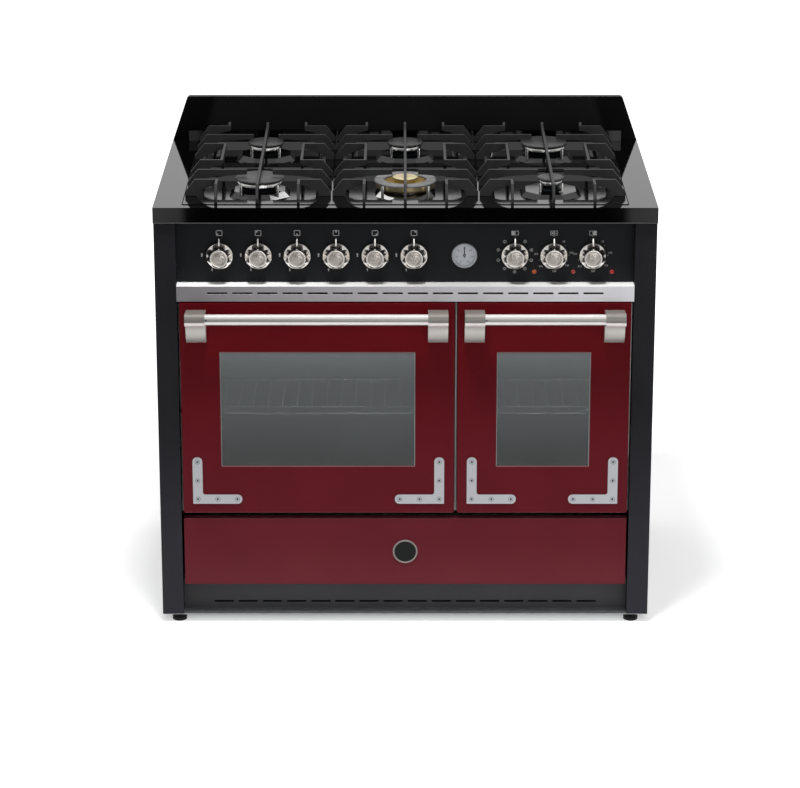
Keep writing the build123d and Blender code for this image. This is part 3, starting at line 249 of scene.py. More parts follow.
def cast(name, colour, rough, metallic=0.0, grain=650.0, depth=0.35, edge=1.25, level=0.5):
    """Cast metal or cast iron under matt enamel: a sandy surface with slight colour change."""
    n = Nodes(name)
    coarse, fine = n.noise(60.0, 4.0), n.noise(grain, 3.0)
    base = n.mix(n.span(coarse, 0.3, 0.7), tinted(colour, 0.86), tinted(colour, edge))
    n.colour(base)
    n.rough(n.span(fine, 0.3, 0.7, rough * 0.85, rough * 1.12))
    n.put(Metallic=metallic, Specular_IOR_Level=level)
    n.bump(coarse, depth * 0.5, 0.0012)
    n.bump(fine, depth, 0.0004)


def vent_material():
    """Brushed steel strip with painted light: painted shade darkens it to the left, and its top ledge is
    painted near white as a painted highlight, palest away from its middle.
    """
    n = Nodes("vent_steel")
    lines = n.noise(1.0, 3.0, 0.7, n.stretched(ALONG))
    # painted shade: darker to the left, paler to the right
    along = n.span(n.axis("X"), -0.46, 0.3)
    base = n.mix(along, srgb("8b878c"), srgb("e9e8ed"))
    base = n.mix(n.span(lines, 0.3, 0.7, 0.0, 0.14), base, srgb("8a888c"))
    # the top ledge: painted near white as a painted highlight, palest away from the middle
    ledge = n.span(n.normal("Z"), 0.6, 0.8)
    off_middle = n.math("ABSOLUTE", n.math("SUBTRACT", n.axis("X"), 0.09))
    ledge_highlight = n.mix(n.span(off_middle, 0.04, 0.42), srgb("cdccc9"), srgb("ffffff"))
    n.colour(n.mix(ledge, base, ledge_highlight))
    n.rough(n.mix(ledge, [0.34] * 3 + [1], [0.3] * 3 + [1]))
    n.link(n.span(ledge, 0.0, 1.0, 0.7, 0.0), n.bsdf.inputs["Metallic"])
    n.bump(lines, 0.06, 0.0004)


def upstand_material():
    """Satin black sheet, a shade deeper towards its ends, with its top face painted grey as a painted
    highlight.
    """
    n = Nodes("upstand_black")
    reach = n.math("ADD", n.math("ABSOLUTE", n.axis("X")), n.math("MULTIPLY", n.axis("Z"), 0.28))
    ends = n.span(reach, 0.672, 0.69, smooth=True)
    cloud = n.span(n.noise(6.0, 3.0), 0.3, 0.7)
    middle = n.mix(cloud, srgb("0c0c0c"), srgb("101010"))
    faces = n.mix(ends, middle, srgb("020202"))
    # painted highlight: the top face is painted lighter grey
    n.colour(n.mix(n.span(n.normal("Z"), 0.6, 0.8), faces, srgb("3d3d3d")))
    n.rough(n.span(n.noise(30.0), 0.3, 0.7, 0.42, 0.5))
    n.put(Specular_IOR_Level=0.06)
    n.bump(n.noise(300.0, 2.0), 0.03, 0.0004)


def worktop_material():
    """Glossy black glass-enamel, paler towards the ends of its front edge."""
    n = Nodes("worktop_black")
    cloud = n.span(n.noise(7.0, 4.0), 0.3, 0.7)
    base = n.mix(cloud, srgb("020202"), srgb("040404"))
    front = n.span(n.math("MULTIPLY", n.normal("Y"), -1.0), 0.8, 0.95)
    end = n.span(n.math("ABSOLUTE", n.axis("X")), 0.428, 0.452, smooth=True)
    n.colour(n.mix(n.math("MULTIPLY", front, end), base, srgb("292929")))
    n.rough(n.span(n.noise(23.0, 3.0), 0.25, 0.75, 0.04, 0.05))
    n.put(Specular_IOR_Level=0.5)
    n.bump(n.noise(260.0, 2.0), 0.01, 0.0005)


def bar_material():
    """Polished handle tube with the drawn lines of its length, and painted reflections by the way it faces:
    painted bright above and below a grey middle, and darker at the very bottom.
    """
    n = Nodes("bar_steel")
    lines = n.noise(1.0, 3.0, 0.7, n.stretched(ALONG))
    up = n.normal("Z")
    down = n.math("MULTIPLY", up, -1.0)
    # painted reflections: bright bands on the upper and lower sides, a dark band underneath
    base = n.mix(n.span(up, 0.42, 0.5), srgb("858480"), srgb("b4b2af"))
    base = n.mix(n.span(up, 0.72, 0.82), base, srgb("e4e1de"))
    base = n.mix(n.span(down, 0.06, 0.14), base, srgb("f6f1ef"))
    base = n.mix(n.span(down, 0.62, 0.74), base, srgb("5f5b59"))
    n.colour(n.mix(n.span(lines, 0.3, 0.7, 0.0, 0.16), base, srgb("9a9794")))
    n.rough(n.span(lines, 0.2, 0.8, 0.24, 0.34))
    n.put(Metallic=0.35)
    n.bump(lines, 0.03, 0.0004)


def bracket_material():
    """Cast handle bracket, brushed across, with painted light and shade by facing and height: a grey ring
    painted lighter on top, a bright lip as a painted highlight, and a foot that darkens downwards as painted
    shade, with a pale painted highlight line at its lower edge.
    """
    n = Nodes("bracket_steel")
    lines = n.noise(1.0, 3.0, 0.7, n.stretched((600.0, 3.0, 600.0)))
    z, up = n.axis("Z"), n.normal("Z")
    # painted light and shade: colours set by facing and height
    ring = n.mix(n.span(up, 0.6, 0.85), srgb("6b6864"), srgb("8f8a84"))
    ring = n.mix(n.span(n.math("MULTIPLY", up, -1.0), 0.1, 0.3), ring, srgb("f3ebe9"))
    foot = n.mix(n.span(z, 0.612, 0.634), srgb("96938e"), srgb("cbc8c3"))
    foot = n.mix(n.span(z, 0.638, 0.652), foot, srgb("b1a8a7"))
    foot = n.mix(n.span(z, 0.6085, 0.6105), srgb("d5c8c3"), foot)
    base = n.mix(n.span(z, 0.6515, 0.6535), foot, ring)
    n.colour(n.mix(n.span(lines, 0.3, 0.7, 0.0, 0.2), base, srgb("8f8b88")))
    n.rough(n.span(lines, 0.2, 0.8, 0.28, 0.38))
    n.put(Metallic=0.35)
    n.bump(lines, 0.05, 0.0004)


# ---- materials ----
worktop_material()
painted("pan_black", "050505", 0.09, peel=0.02, level=0.6)
upstand_material()
# side_black, burgundy and drawer_red take a low colour: painted light and shade, paler low down and darker
# up high
painted("side_black", "1b1b1f", 0.36, peel=0.05, speck=0.1, level=0.1, low="2e2d33", fade=(0.05, 0.5))
painted("panel_black", "1b1c1e", 0.42, peel=0.05, speck=0.1, level=0.08)
painted("burgundy", "53060e", 0.34, peel=0.03, speck=0.02, level=0.07, low="58141d", fade=(0.24, 0.6))
painted("drawer_red", "5c1b24", 0.34, peel=0.03, speck=0.02, level=0.07, low="65262e", fade=(0.08, 0.2))
painted("plinth_grey", "424244", 0.42, peel=0.04, level=0.15)
vent_material()
bar_material()
bracket_material()
brushed("bezel", "b2b5b9", 0.5, grain=(200.0, 200.0, 200.0), depth=0.03, stain=0.02)
brushed("knob_disc", "b9b3ac", 0.3, grain=(300.0, 300.0, 300.0), depth=0.04, stain=0.02)
brushed("knob_silver", "e9e5e0", 0.22, grain=(60.0, 60.0, 60.0), depth=0.03, stain=0.02)
brushed("trim_steel", "c6c7cb", 0.42, grain=(900.0, 3.0, 900.0), depth=0.06, stain=0.02)
brushed("screw_steel", "c2c8cc", 0.35, depth=0.05)
# dark for the grub screws, and painted shade in the screws' sockets, in the flame ports and under the
# crowns' bands
painted("socket_dark", "1d2024", 0.5, level=0.1)
# the next two are painted highlights for the turned-in edges of the windows
painted("window_edge_highlight", "7c585b", 0.5, level=0.1)
painted("window_side", "787a7b", 0.5, level=0.1)
# a painted highlight for pale lines along door and drawer edges
painted("pale_edge_highlight", "74363c", 0.5, level=0.1)
brushed("badge_rim", "a39b98", 0.35, grain=(300.0, 300.0, 300.0), depth=0.03, stain=0.02)
cast("galvanised", "a9acae", 0.5, metallic=0.8, grain=90.0, depth=0.06, edge=1.1)
cast("iron", "1f1f20", 0.5, level=0.32)
cast("cap_enamel", "303031", 0.42, grain=900.0, depth=0.2, level=0.3)
cast("ring_enamel", "5a5a5b", 0.42, grain=900.0, depth=0.2, level=0.3)
cast("rack_wire", "d8d8d6", 0.6, depth=0.03, edge=1.05, level=0.3)
brushed("aluminium", "d2d2d0", 0.26, grain=(300.0, 300.0, 40.0), depth=0.04, stain=0.01)
brushed("brass", "dccb9c", 0.3, grain=(300.0, 300.0, 40.0), depth=0.06)
painted("oven_enamel", "222426", 0.25, peel=0.03, speck=0.6)
painted("inner_enamel", "66676a", 0.3, peel=0.05, speck=0.02, level=0.3)
painted("frame_enamel", "a9a9a8", 0.3, peel=0.03)
painted("dial", "b0b3b8", 0.4, peel=0.08, speck=0.25, level=0.2)
cast("seal", "1a1a1a", 0.7, grain=400.0, depth=0.2, level=0.2)
cast("foot_plastic", "141414", 0.55, grain=700.0, depth=0.12, level=0.2)
brushed("element", "6b6560", 0.45, stain=0.08)
painted("needle", "18181f", 0.4, level=0.1)
painted("marking", "a5a5a5", 0.6, level=0.1)
painted("dial_ink", "3c4046", 0.6, level=0.1)
# dark for the pan's joint, and painted shade behind the slots of the vent and the plinth
painted("joint_and_shade_dark", "020202", 0.6, level=0.02)
# a painted highlight for the line under the worktop's front edge
painted("edge_highlight_grey", "4a4a4a", 0.5, level=0.2)
painted("badge_black", "161817", 0.2, peel=0.02, level=0.15)


def lamp_material():
    """Translucent pilot lamps: orange, dull red and red from left to right."""
    n = Nodes("lamp_lens")
    x = n.axis("X")
    first = n.span(x, 0.29, 0.30)
    second = n.span(x, 0.37, 0.38)
    dots = n.span(n.cells(900.0), 0.0, 0.5, 0.0, 0.35)
    body = n.mix(second, n.mix(first, srgb("c05a24"), srgb("a13a30")), srgb("c02824"))
    n.colour(n.mix(dots, body, srgb("3a0d08")))
    n.rough(n.span(n.noise(200.0), 0.3, 0.7, 0.18, 0.26))
    n.put(Subsurface_Weight=0.2, Subsurface_Radius=(0.002, 0.001, 0.0005), Coat_Weight=0.5)


def glass_material():
    """Tinted oven glass under a grey veil, so that only the nearest rack wires show through. The veil is
    painted paler higher up as a painted reflection.
    """
    n = Nodes("oven_glass")
    # painted reflection: the veil is paler higher up
    tone = n.span(n.axis("Z"), 0.36, 0.6)
    smear = n.span(n.noise(5.0, 4.0), 0.35, 0.7, 0.0, 0.12)
    base = n.mix(tone, srgb("5b5e5e"), srgb("94989a"))
    base = n.mix(n.span(n.axis("Z"), 0.34, 0.4, 0.35, 0.0), base, srgb("707270"))
    n.colour(n.mix(smear, base, srgb("8e9394")))
    n.rough(n.span(n.noise(6.0, 4.0), 0.4, 0.75, 0.01, 0.03))
    n.put(Transmission_Weight=0.6, IOR=1.15, Specular_IOR_Level=0.1)
    n.bump(n.noise(400.0, 1.0), 0.004, 0.0001)


def clear_glass_material():
    """Clear inner pane with a faint bloom of grease."""
    n = Nodes("inner_glass")
    n.colour(n.mix(n.span(n.noise(6.0, 4.0), 0.4, 0.75), srgb("f4f8f6"), srgb("d9dedb")))
    n.rough(n.span(n.noise(9.0, 4.0), 0.4, 0.75, 0.02, 0.06))
    n.put(Transmission_Weight=1.0, IOR=1.15, Specular_IOR_Level=0.1)
    n.bump(n.noise(400.0, 1.0), 0.004, 0.0001)


lamp_material()
glass_material()
clear_glass_material()


# ---- mesh helpers ----
def finish_mesh(name, bm, material, body, smooth=35.0):
    """Turns a bmesh into a piece that rides on a body, shaded smooth below an angle."""
    bmesh.ops.recalc_face_normals(bm, faces=bm.faces)
    mesh = bpy.data.meshes.new(name)
    bm.to_mesh(mesh)
    bm.free()
    piece = bpy.data.objects.new(name, mesh)
    bpy.context.scene.collection.objects.link(piece)
    for face in mesh.polygons:
        face.use_smooth = True
    mesh.set_sharp_from_angle(angle=radians(smooth))
    for mat in material if isinstance(material, (list, tuple)) else [material]:
        mesh.materials.append(mat)
    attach(piece, body)
    return piece


def turned(bm, centre, profile, steps=64, axis="Y", swell=None, index=0):
    """A closed turned solid.

    The profile's points are (radius, height). The height runs forward (-Y), or up with axis "Z".
    """
    rings = []
    for radius, height in profile:
        ring = []
        if radius < 1e-7:
            ring = [bm.verts.new(place(centre, 0, 0, height, axis))]
        else:
            for i in range(steps):
                a = 2 * pi * i / steps
                r, h = swell(radius, height, a) if swell else (radius, height)
                ring.append(bm.verts.new(place(centre, r * cos(a), r * sin(a), h, axis)))
        rings.append(ring)
    for a, b in zip(rings, rings[1:]):
        for i in range(steps):
            j = (i + 1) % steps
            if len(a) == 1 and len(b) == 1:
                continue
            if len(a) == 1:
                face = bm.faces.new((a[0], b[i], b[j]))
            elif len(b) == 1:
                face = bm.faces.new((a[i], a[j], b[0]))
            else:
                face = bm.faces.new((a[i], a[j], b[j], b[i]))
            face.material_index = index
    return rings


def place(centre, u, v, h, axis):
    """A point of a turned shape: u and v across the axis, h forward along it (-Y) or up (+Z)."""
    cx, cy, cz = centre
    return (cx + u, cy - h, cz + v) if axis == "Y" else (cx + u, cy + v, cz + h)


def slab(bm, low, high, index=0):
    """A box between two corners."""
    made = bmesh.ops.create_cube(bm, size=1.0)["verts"]
    size = [h - l for l, h in zip(low, high)]
    mid = [(h + l) / 2 for l, h in zip(low, high)]
    bmesh.ops.scale(bm, vec=size, verts=made)
    bmesh.ops.translate(bm, vec=mid, verts=made)
    for face in {f for v in made for f in v.link_faces}:
        face.material_index = index
    return made


def put_at(bm, made, turn, axis, spot):
    """Turns new vertices about the origin and moves them to their place."""
    bmesh.ops.rotate(bm, cent=(0, 0, 0), matrix=Matrix.Rotation(turn, 3, axis), verts=made)
    bmesh.ops.translate(bm, vec=spot, verts=made)


def wire(bm, path, y, radius, steps=10):
    """A bent wire in a plane of constant Y. The path's points are (x, z)."""
    rings = []
    for i, (x, z) in enumerate(path):
        (ax, az), (bx, bz) = path[max(i - 1, 0)], path[min(i + 1, len(path) - 1)]
        run = Vector((bx - ax, 0.0, bz - az)).normalized()
        across = Vector((-run.z, 0.0, run.x))
        ring = []
        for k in range(steps):
            a = 2 * pi * k / steps
            spot = Vector((x, y, z)) + across * (radius * cos(a)) + Vector((0.0, radius * sin(a), 0.0))
            ring.append(bm.verts.new(spot))
        rings.append(ring)
    for a, b in zip(rings, rings[1:]):
        for k in range(steps):
            m = (k + 1) % steps
            bm.faces.new((a[k], a[m], b[m], b[k]))
    bm.faces.new(list(reversed(rings[0])))
    bm.faces.new(rings[-1])


def islands(bm):
    """The separate shells of a mesh, as lists of vertices, in the order of their first vertices."""
    left, found = set(bm.verts), []
    for first in bm.verts:
        if first not in left:
            continue
        left.discard(first)
        stack, shell = [first], []
        while stack:
            vert = stack.pop()
            shell.append(vert)
            for edge in vert.link_edges:
                other = edge.other_vert(vert)
                if other in left:
                    left.discard(other)
                    stack.append(other)
        found.append(shell)
    return found


def span_of(shell, axis):
    """The lowest and highest place of a shell on an axis."""
    values = [v.co[axis] for v in shell]
    return min(values), max(values)


def cad_mesh(node, flat=True):
    """A copy of a CAD node's mesh. flat joins the triangles of each flat face."""
    bm = bmesh.new()
    bm.from_mesh(nodes[node].data)
    bmesh.ops.remove_doubles(bm, verts=bm.verts, dist=1e-6)
    if flat:
        bmesh.ops.dissolve_limit(bm, angle_limit=radians(1.0), verts=bm.verts, edges=bm.edges)
    return bm


def rounded_copy(node, name, width, material, pick=None):
    """A copy of a CAD node with softened edges, which stands for the node.

    pick gives the index of each shell's material.
    """
    bm = cad_mesh(node)
    if pick:
        for shell in islands(bm):
            index = pick(shell)
            for face in {f for v in shell for f in v.link_faces}:
                face.material_index = index
    piece = finish_mesh(name, bm, material, nodes[node]["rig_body"], smooth=40.0)
    soften = piece.modifiers.new("soften", "BEVEL")
    soften.width = width
    soften.segments = 2
    soften.limit_method = "ANGLE"
    soften.angle_limit = radians(40.0)
    soften.harden_normals = True
    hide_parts(node)
    return piece


# ---- CAD nodes that keep their shape ----
KEEP = {
    "side_panel_left": "side_black", "side_panel_right": "side_black", "control_panel": "panel_black",
    "worktop": "worktop_black", "upstand": "upstand_black", "hob_pans": "pan_black",
    "back_panel": "galvanised", "base_pan": "galvanised", "levelling_feet": "foot_plastic",
    "plinth": "plinth_grey", "vent_strip": "vent_steel", "indicator_lamps": "lamp_lens",
    "thermometer_case": "bezel", "thermometer_needle": "needle", "oven_switches": "galvanised",
    "gas_supply": "galvanised", "oven_front_frame": "frame_enamel", "door_seals": "seal",
    "door_hinge_arms": "galvanised", "left_oven_liner": "oven_enamel", "right_oven_liner": "oven_enamel",
    "oven_racks": "element", "heating_elements": "element", "oven_fan_impeller": "galvanised",
    "drawer_front": "drawer_red", "drawer_box": "galvanised", "drawer_medallion": "badge_rim",
    "triple_crown_burner": "brass", "burner_caps": "cap_enamel",
}
for side in SIDES:
    KEEP[f"{side}_door_panel"] = "burgundy"
    KEEP[f"{side}_door_inner"] = "inner_enamel"
    KEEP[f"{side}_door_handle_bar"] = "bar_steel"
    KEEP[f"{side}_door_handle_brackets"] = "bracket_steel"
for i in range(1, 7):
    KEEP[f"valve_stem_{i}"] = "galvanised"
for node, key in KEEP.items():
    nodes[node].data.materials.clear()
    nodes[node].data.materials.append(MAT[key])


# ---- door glass: a tinted outer pane and a clear inner one ----
BEHIND_OUTER_PANE = DOOR_FACE + 0.02


def is_inner_pane(shell):
    """Index 1 for a pane that starts behind the outer one."""
    return 1 if span_of(shell, 1)[0] > BEHIND_OUTER_PANE else 0


for side in SIDES:
    rounded_copy(f"{side}_door_glass", f"{side}_door_panes", 0.0003, [MAT["oven_glass"], MAT["inner_glass"]],
                 is_inner_pane)

# ---- grates ----
for name in ("left", "centre", "right"):
    rounded_copy(f"{name}_grate", f"{name}_grate_casting", 0.0007, MAT["iron"])


# ---- corner trims with their screws ----
SCREW_FIRST, SCREW_MORE = 0.010, (0.050, 0.090)  # from the trim's corner, along each leg
SCREW_HEAD = 0.0041  # reach of a screw head, for its material
SOCKET_SINK = 0.0001  # base of a socket's ring and dot, behind the trim's face


def ring_bars(bm, x, y, z, radius, line, thick, count=16):
    """A flat ring of short bars that faces forward."""
    for i in range(count):
        a = 2 * pi * (i + 0.5) / count
        half = radius * sin(pi / count) * 1.06
        bar = slab(bm, (-half, -thick, -line / 2), (half, 0.0, line / 2))
        put_at(bm, bar, -a - pi / 2, "Y", (x + radius * cos(a), y, z + radius * sin(a)))


def trim_screws(bm, middle):
    """The places (x, z) of the screws in a door's corner trims."""
    screws = []
    for shell in islands(bm):
        (x0, x1), (z0, z1) = span_of(shell, 0), span_of(shell, 2)
        corner, reach = (x0, 1) if x0 < middle else (x1, -1)
        screws += [(corner + reach * step, z0 + SCREW_FIRST) for step in (SCREW_FIRST, *SCREW_MORE)]
        screws += [(corner + reach * SCREW_FIRST, z0 + step) for step in SCREW_MORE]
    return screws


def make_trims(side):
    """Corner trims with brighter screw heads, and the screws' dark sockets: a dark ring and dot at each
    screw, painted shade in the gap round its head and in its recess.
    """
    node = f"{side}_door_corner_trims"
    bm = cad_mesh(node, flat=False)
    screws = trim_screws(bm, (DOORS[side][0].x + DOORS[side][1].x) / 2)
    for face in bm.faces:
        at = face.calc_center_median()
        if min(hypot(at.x - sx, at.z - sz) for sx, sz in screws) < SCREW_HEAD:
            face.material_index = 1
    piece = finish_mesh(f"{side}_door_corner_plates", bm, [MAT["trim_steel"], MAT["screw_steel"]],
                        f"{side}_door")
    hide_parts(node)
    socket_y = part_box(node)[0].y + SOCKET_SINK
    bm = bmesh.new()
    # painted shade: a dark ring round each screw head and a dark dot in its recess
    for sx, sz in screws:
        ring_bars(bm, sx, socket_y, sz, 0.0045, 0.0006, 0.0002)
        turned(bm, (sx, socket_y, sz), [(0.0, 0.0), (0.0021, 0.0), (0.0021, 0.0004), (0.0, 0.0004)], 12)
    finish_mesh(f"{side}_door_screw_socket_shade", bm, MAT["socket_dark"], f"{side}_door")


for side in SIDES:
    make_trims(side)


# ---- burner caps and crowns ----
RING_CAP_WIDTH = 0.11  # only the triple burner's ring cap is wider
SEAT_TOP = 0.8800  # a crown's flare, painted dark as painted shade under its band, starts above this height
CROWN_EDGE_LOW = 0.8925  # and ends at the foot of its bright upright band
CROWN_INSET = 0.004  # a crown's edge lies this far inside its cap's
PORT_PITCH, PORT_HALF_WIDTH = 0.0055, 0.0004
PORT_LOW, PORT_HIGH = CROWN_EDGE_LOW + 0.0004, CROWN_EDGE_LOW + 0.0024


def is_ring(shell):
    """Index 1 for the triple burner's ring cap."""
    low, high = span_of(shell, 0)
    return 1 if high - low > RING_CAP_WIDTH else 0


def crown_places():
    """The middle (x, y) and the radius of each round crown, from the cap above it."""
    caps = cad_mesh("burner_caps")
    places = []
    for shell in islands(caps):
        if not is_ring(shell):
            (x0, x1), (y0, y1) = span_of(shell, 0), span_of(shell, 1)
            places.append(((x0 + x1) / 2, (y0 + y1) / 2, (y1 - y0) / 2 - CROWN_INSET))
    caps.free()
    return places


def flame_ports(bm, centre, edge):
    """Dark slots round the upright band of a burner crown: dark boxes as painted shade inside the ports."""
    count = int(2 * pi * edge / PORT_PITCH)
    for i in range(count):
        port = slab(bm, (edge - 0.0010, -PORT_HALF_WIDTH, PORT_LOW),
                    (edge + 0.00012, PORT_HALF_WIDTH, PORT_HIGH), index=1)
        put_at(bm, port, 2 * pi * i / count, "Z", centre)


def make_burners():
    """The burner bodies, painted dark under their crowns' bands as painted shade, and with flame ports."""
    crowns = crown_places()
    bm = cad_mesh("burner_bodies", flat=False)
    for face in bm.faces:
        at = face.calc_center_median()
        # painted shade: the flare under each crown's band takes the dark material
        if SEAT_TOP < at.z < CROWN_EDGE_LOW:
            if any(hypot(at.x - x, at.y - y) < edge for x, y, edge in crowns):
                face.material_index = 1
    for x, y, edge in crowns:
        flame_ports(bm, (x, y, 0.0), edge)
    piece = finish_mesh("burner_crowns", bm, [MAT["aluminium"], MAT["socket_dark"]], "root",
                        smooth=30.0)
    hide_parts("burner_bodies")


rounded_copy("burner_caps", "burner_cap_castings", 0.0005, [MAT["cap_enamel"], MAT["ring_enamel"]],
             is_ring)
make_burners()


# ---- knobs ----
FLUTES = [radians(90 + turn) for turn in (42, 87, 132, 180, 228, 273, 318)]
FLUTE_HALF_ANGLE, FLUTE_DEPTH = radians(15), 0.0034
FLUTE_HEIGHT, FLUTE_REACH = 0.0105, 0.0085  # a flute's deepest point, and how far it runs from there
DISC_RADIUS, DISC_RELIEF = 0.0135, 0.00045
KNOB_STEPS = 112
KNOB_PROFILE = [  # (radius, height): bore, skirt, neck, raised ring
    (0.0, 0.012), (0.00405, 0.012), (0.00405, 0.0), (0.0266, 0.0), (0.0273, 0.0005), (0.0275, 0.0012),
    (0.0275, 0.0028), (0.0272, 0.0036), (0.0264, 0.0044), (0.0252, 0.0054), (0.0238, 0.0068),
    (0.0224, 0.0084), (0.0211, 0.0100), (0.0199, 0.0118), (0.0189, 0.0136), (0.0181, 0.0154),
    (0.0176, 0.0172), (0.0174, 0.0188), (0.0176, 0.0204), (0.0180, 0.0218), (0.0181, 0.0230),
    (0.0178, 0.0241), (0.0171, 0.0248), (0.0162, 0.0250), (0.0153, 0.0248), (0.0146, 0.0241),
    (0.0142, 0.0230), (0.0139, 0.0216)]
DISC_PROFILE = [
    (0.0139, 0.0216), (0.0132, 0.0211), (0.0118, 0.0212), (0.0100, 0.0216), (0.0080, 0.0221),
    (0.0060, 0.0225), (0.0040, 0.0228), (0.0020, 0.0230), (0.0, 0.0230)]
FIN_OUTLINE = [  # (distance above the axis, height, half thickness)
    (0.0165, 0.0020, 0.0018), (0.0345, 0.0010, 0.0014), (0.0370, 0.0012, 0.0011),
    (0.0375, 0.0030, 0.0009), (0.0368, 0.0060, 0.0011), (0.0300, 0.0082, 0.0013),
    (0.0240, 0.0112, 0.0013), (0.0200, 0.0165, 0.0013), (0.0182, 0.0205, 0.0013), (0.0165, 0.0210, 0.0011)]


def fluted(radius, height, angle):
    """Scoops between the knob's lobes, deepest halfway up the skirt. The top lobe is twice as wide."""
    near = min(abs((angle - flute + pi) % (2 * pi) - pi) for flute in FLUTES)
    scoop = max(0.0, 1 - (near / FLUTE_HALF_ANGLE) ** 2) ** 1.5
    share = max(0.0, 1 - ((height - FLUTE_HEIGHT) / FLUTE_REACH) ** 2)
    return radius - FLUTE_DEPTH * scoop * share, height


def hammered(radius, height, angle):
    """The cast pattern of the disc in the middle of a knob."""
    fade = min(1.0, max(0.0, (DISC_RADIUS - radius) / 0.003))
    return radius, height + DISC_RELIEF * fade * sin(5 * angle + radius * 900) * min(1.0, radius / 0.002)


def pointer_fin(bm, x):
    """The knob's pointer: a thin upright plate between two mirrored outlines."""
    sides = []
    for sign in (-1, 1):
        sides.append([bm.verts.new((x + sign * half, KNOB_BACK - height, CONTROL_Z + up))
                      for up, height, half in FIN_OUTLINE])
    count = len(FIN_OUTLINE)
    bm.faces.new(sides[0])
    bm.faces.new(list(reversed(sides[1])))
    for i in range(count):
        j = (i + 1) % count
        bm.faces.new((sides[0][j], sides[0][i], sides[1][i], sides[1][j]))


def make_knob(node, x):
    """A fluted knob: scalloped skirt, neck, raised ring round a cast disc, and a pointer fin."""
    bm = bmesh.new()
    centre = (x, KNOB_BACK, CONTROL_Z)
    turned(bm, centre, KNOB_PROFILE, KNOB_STEPS, swell=fluted)
    turned(bm, centre, DISC_PROFILE, KNOB_STEPS, swell=hammered, index=1)
    bmesh.ops.remove_doubles(bm, verts=bm.verts, dist=2e-5)
    pointer_fin(bm, x)
    piece = finish_mesh(f"{node}_fluted", bm, [MAT["knob_silver"], MAT["knob_disc"]], node,
                        smooth=50.0)
    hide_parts(node)


for i, x in enumerate(GAS_X, 1):
    make_knob(f"gas_knob_{i}", x)
for i, x in enumerate(OVEN_X, 1):
    make_knob(f"oven_knob_{i}", x)


# ---- thermometer dial ----
DIAL_FLOOR = PANEL_FACE - 0.0015
DIAL_HOLE, DIAL_RADIUS, DIAL_THICK = 0.0013, 0.0219, 0.0002
DIAL_PROFILE = [(DIAL_HOLE, 0.0), (DIAL_RADIUS, 0.0), (DIAL_RADIUS, DIAL_THICK), (DIAL_HOLE, DIAL_THICK)]
TICK_RADIUS, TICK_COUNT = 0.0195, 31
FIRST_TICK, TICK_STEP = -60, 10  # degrees from +X
LONG_EVERY, LONG_HALF, SHORT_HALF = 5, 0.0012, 0.0007  # half lengths of the ticks


def make_dial():
    """The pale dial ring and its ticks."""
    bm = bmesh.new()
    turned(bm, (DIAL_X, DIAL_FLOOR, CONTROL_Z), DIAL_PROFILE, 64)
    finish_mesh("thermometer_dial", bm, MAT["dial"], "root")
    bm = bmesh.new()
    for step in range(TICK_COUNT):
        a = radians(FIRST_TICK + step * TICK_STEP)
        half = SHORT_HALF if step % LONG_EVERY else LONG_HALF
        tick = slab(bm, (-half, -0.00045, -0.0003), (half, -0.0001, 0.0003))
        put_at(bm, tick, -a, "Y",
               (DIAL_X + TICK_RADIUS * cos(a), DIAL_FLOOR, CONTROL_Z + TICK_RADIUS * sin(a)))
    finish_mesh("thermometer_ticks", bm, MAT["dial_ink"], "root")


make_dial()


# ---- drawer badge ----
BADGE_PROFILE = [  # (radius, height) of the face inside the medallion
    (0.0, -0.0012), (0.0218, -0.0012), (0.0216, -0.0009), (0.0208, -0.0008), (0.0150, -0.00075),
    (0.0080, -0.0006), (0.0, -0.0005)]


def make_badge():
    """The black face of the drawer's medallion."""
    low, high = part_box("drawer_medallion")
    bm = bmesh.new()
    turned(bm, ((low.x + high.x) / 2, low.y, (low.z + high.z) / 2), BADGE_PROFILE, 72)
    finish_mesh("drawer_badge_face", bm, MAT["badge_black"], "drawer")


make_badge()


# ---- the worktop's dark joint, and a painted highlight line under its front edge ----
JOINT_WIDTH, JOINT_TOP = 0.0022, WORKTOP_TOP + 0.00025
# the light line under the front edge, a painted highlight
EDGE_END, EDGE_DEPTH = 0.4998, 0.0003
EDGE_LOW, EDGE_HIGH = 0.8530, 0.8546


def make_worktop_lines():
    """The joint round the hob pans, and the light line under the worktop's front edge, a painted highlight.
    """
    low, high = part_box("hob_pans")
    y0 = low.y - JOINT_WIDTH
    bm = bmesh.new()
    slab(bm, (low.x - JOINT_WIDTH, y0, WORKTOP_TOP), (low.x, high.y, JOINT_TOP))
    slab(bm, (high.x, y0, WORKTOP_TOP), (high.x + JOINT_WIDTH, high.y, JOINT_TOP))
    slab(bm, (low.x, y0, WORKTOP_TOP), (high.x, low.y, JOINT_TOP))
    finish_mesh("pan_joint", bm, MAT["joint_and_shade_dark"], "root")
    # painted highlight: a light grey line under the worktop's front edge
    bm = bmesh.new()
    slab(bm, (-EDGE_END, WORKTOP_FRONT - EDGE_DEPTH, EDGE_LOW),
         (EDGE_END, WORKTOP_FRONT + EDGE_DEPTH, EDGE_HIGH))
    finish_mesh("worktop_front_highlight", bm, MAT["edge_highlight_grey"], "root")


make_worktop_lines()


# ---- painted shade: dark strips behind the slots of the vent and the plinth ----
BACKING_END = 0.42
BACKING_FRONT, BACKING_BACK = 0.0016, 0.0030  # behind the slotted face
BACKING_HEIGHTS = {"vent_strip": (0.7035, 0.7125), "plinth": (0.0285, 0.0375)}


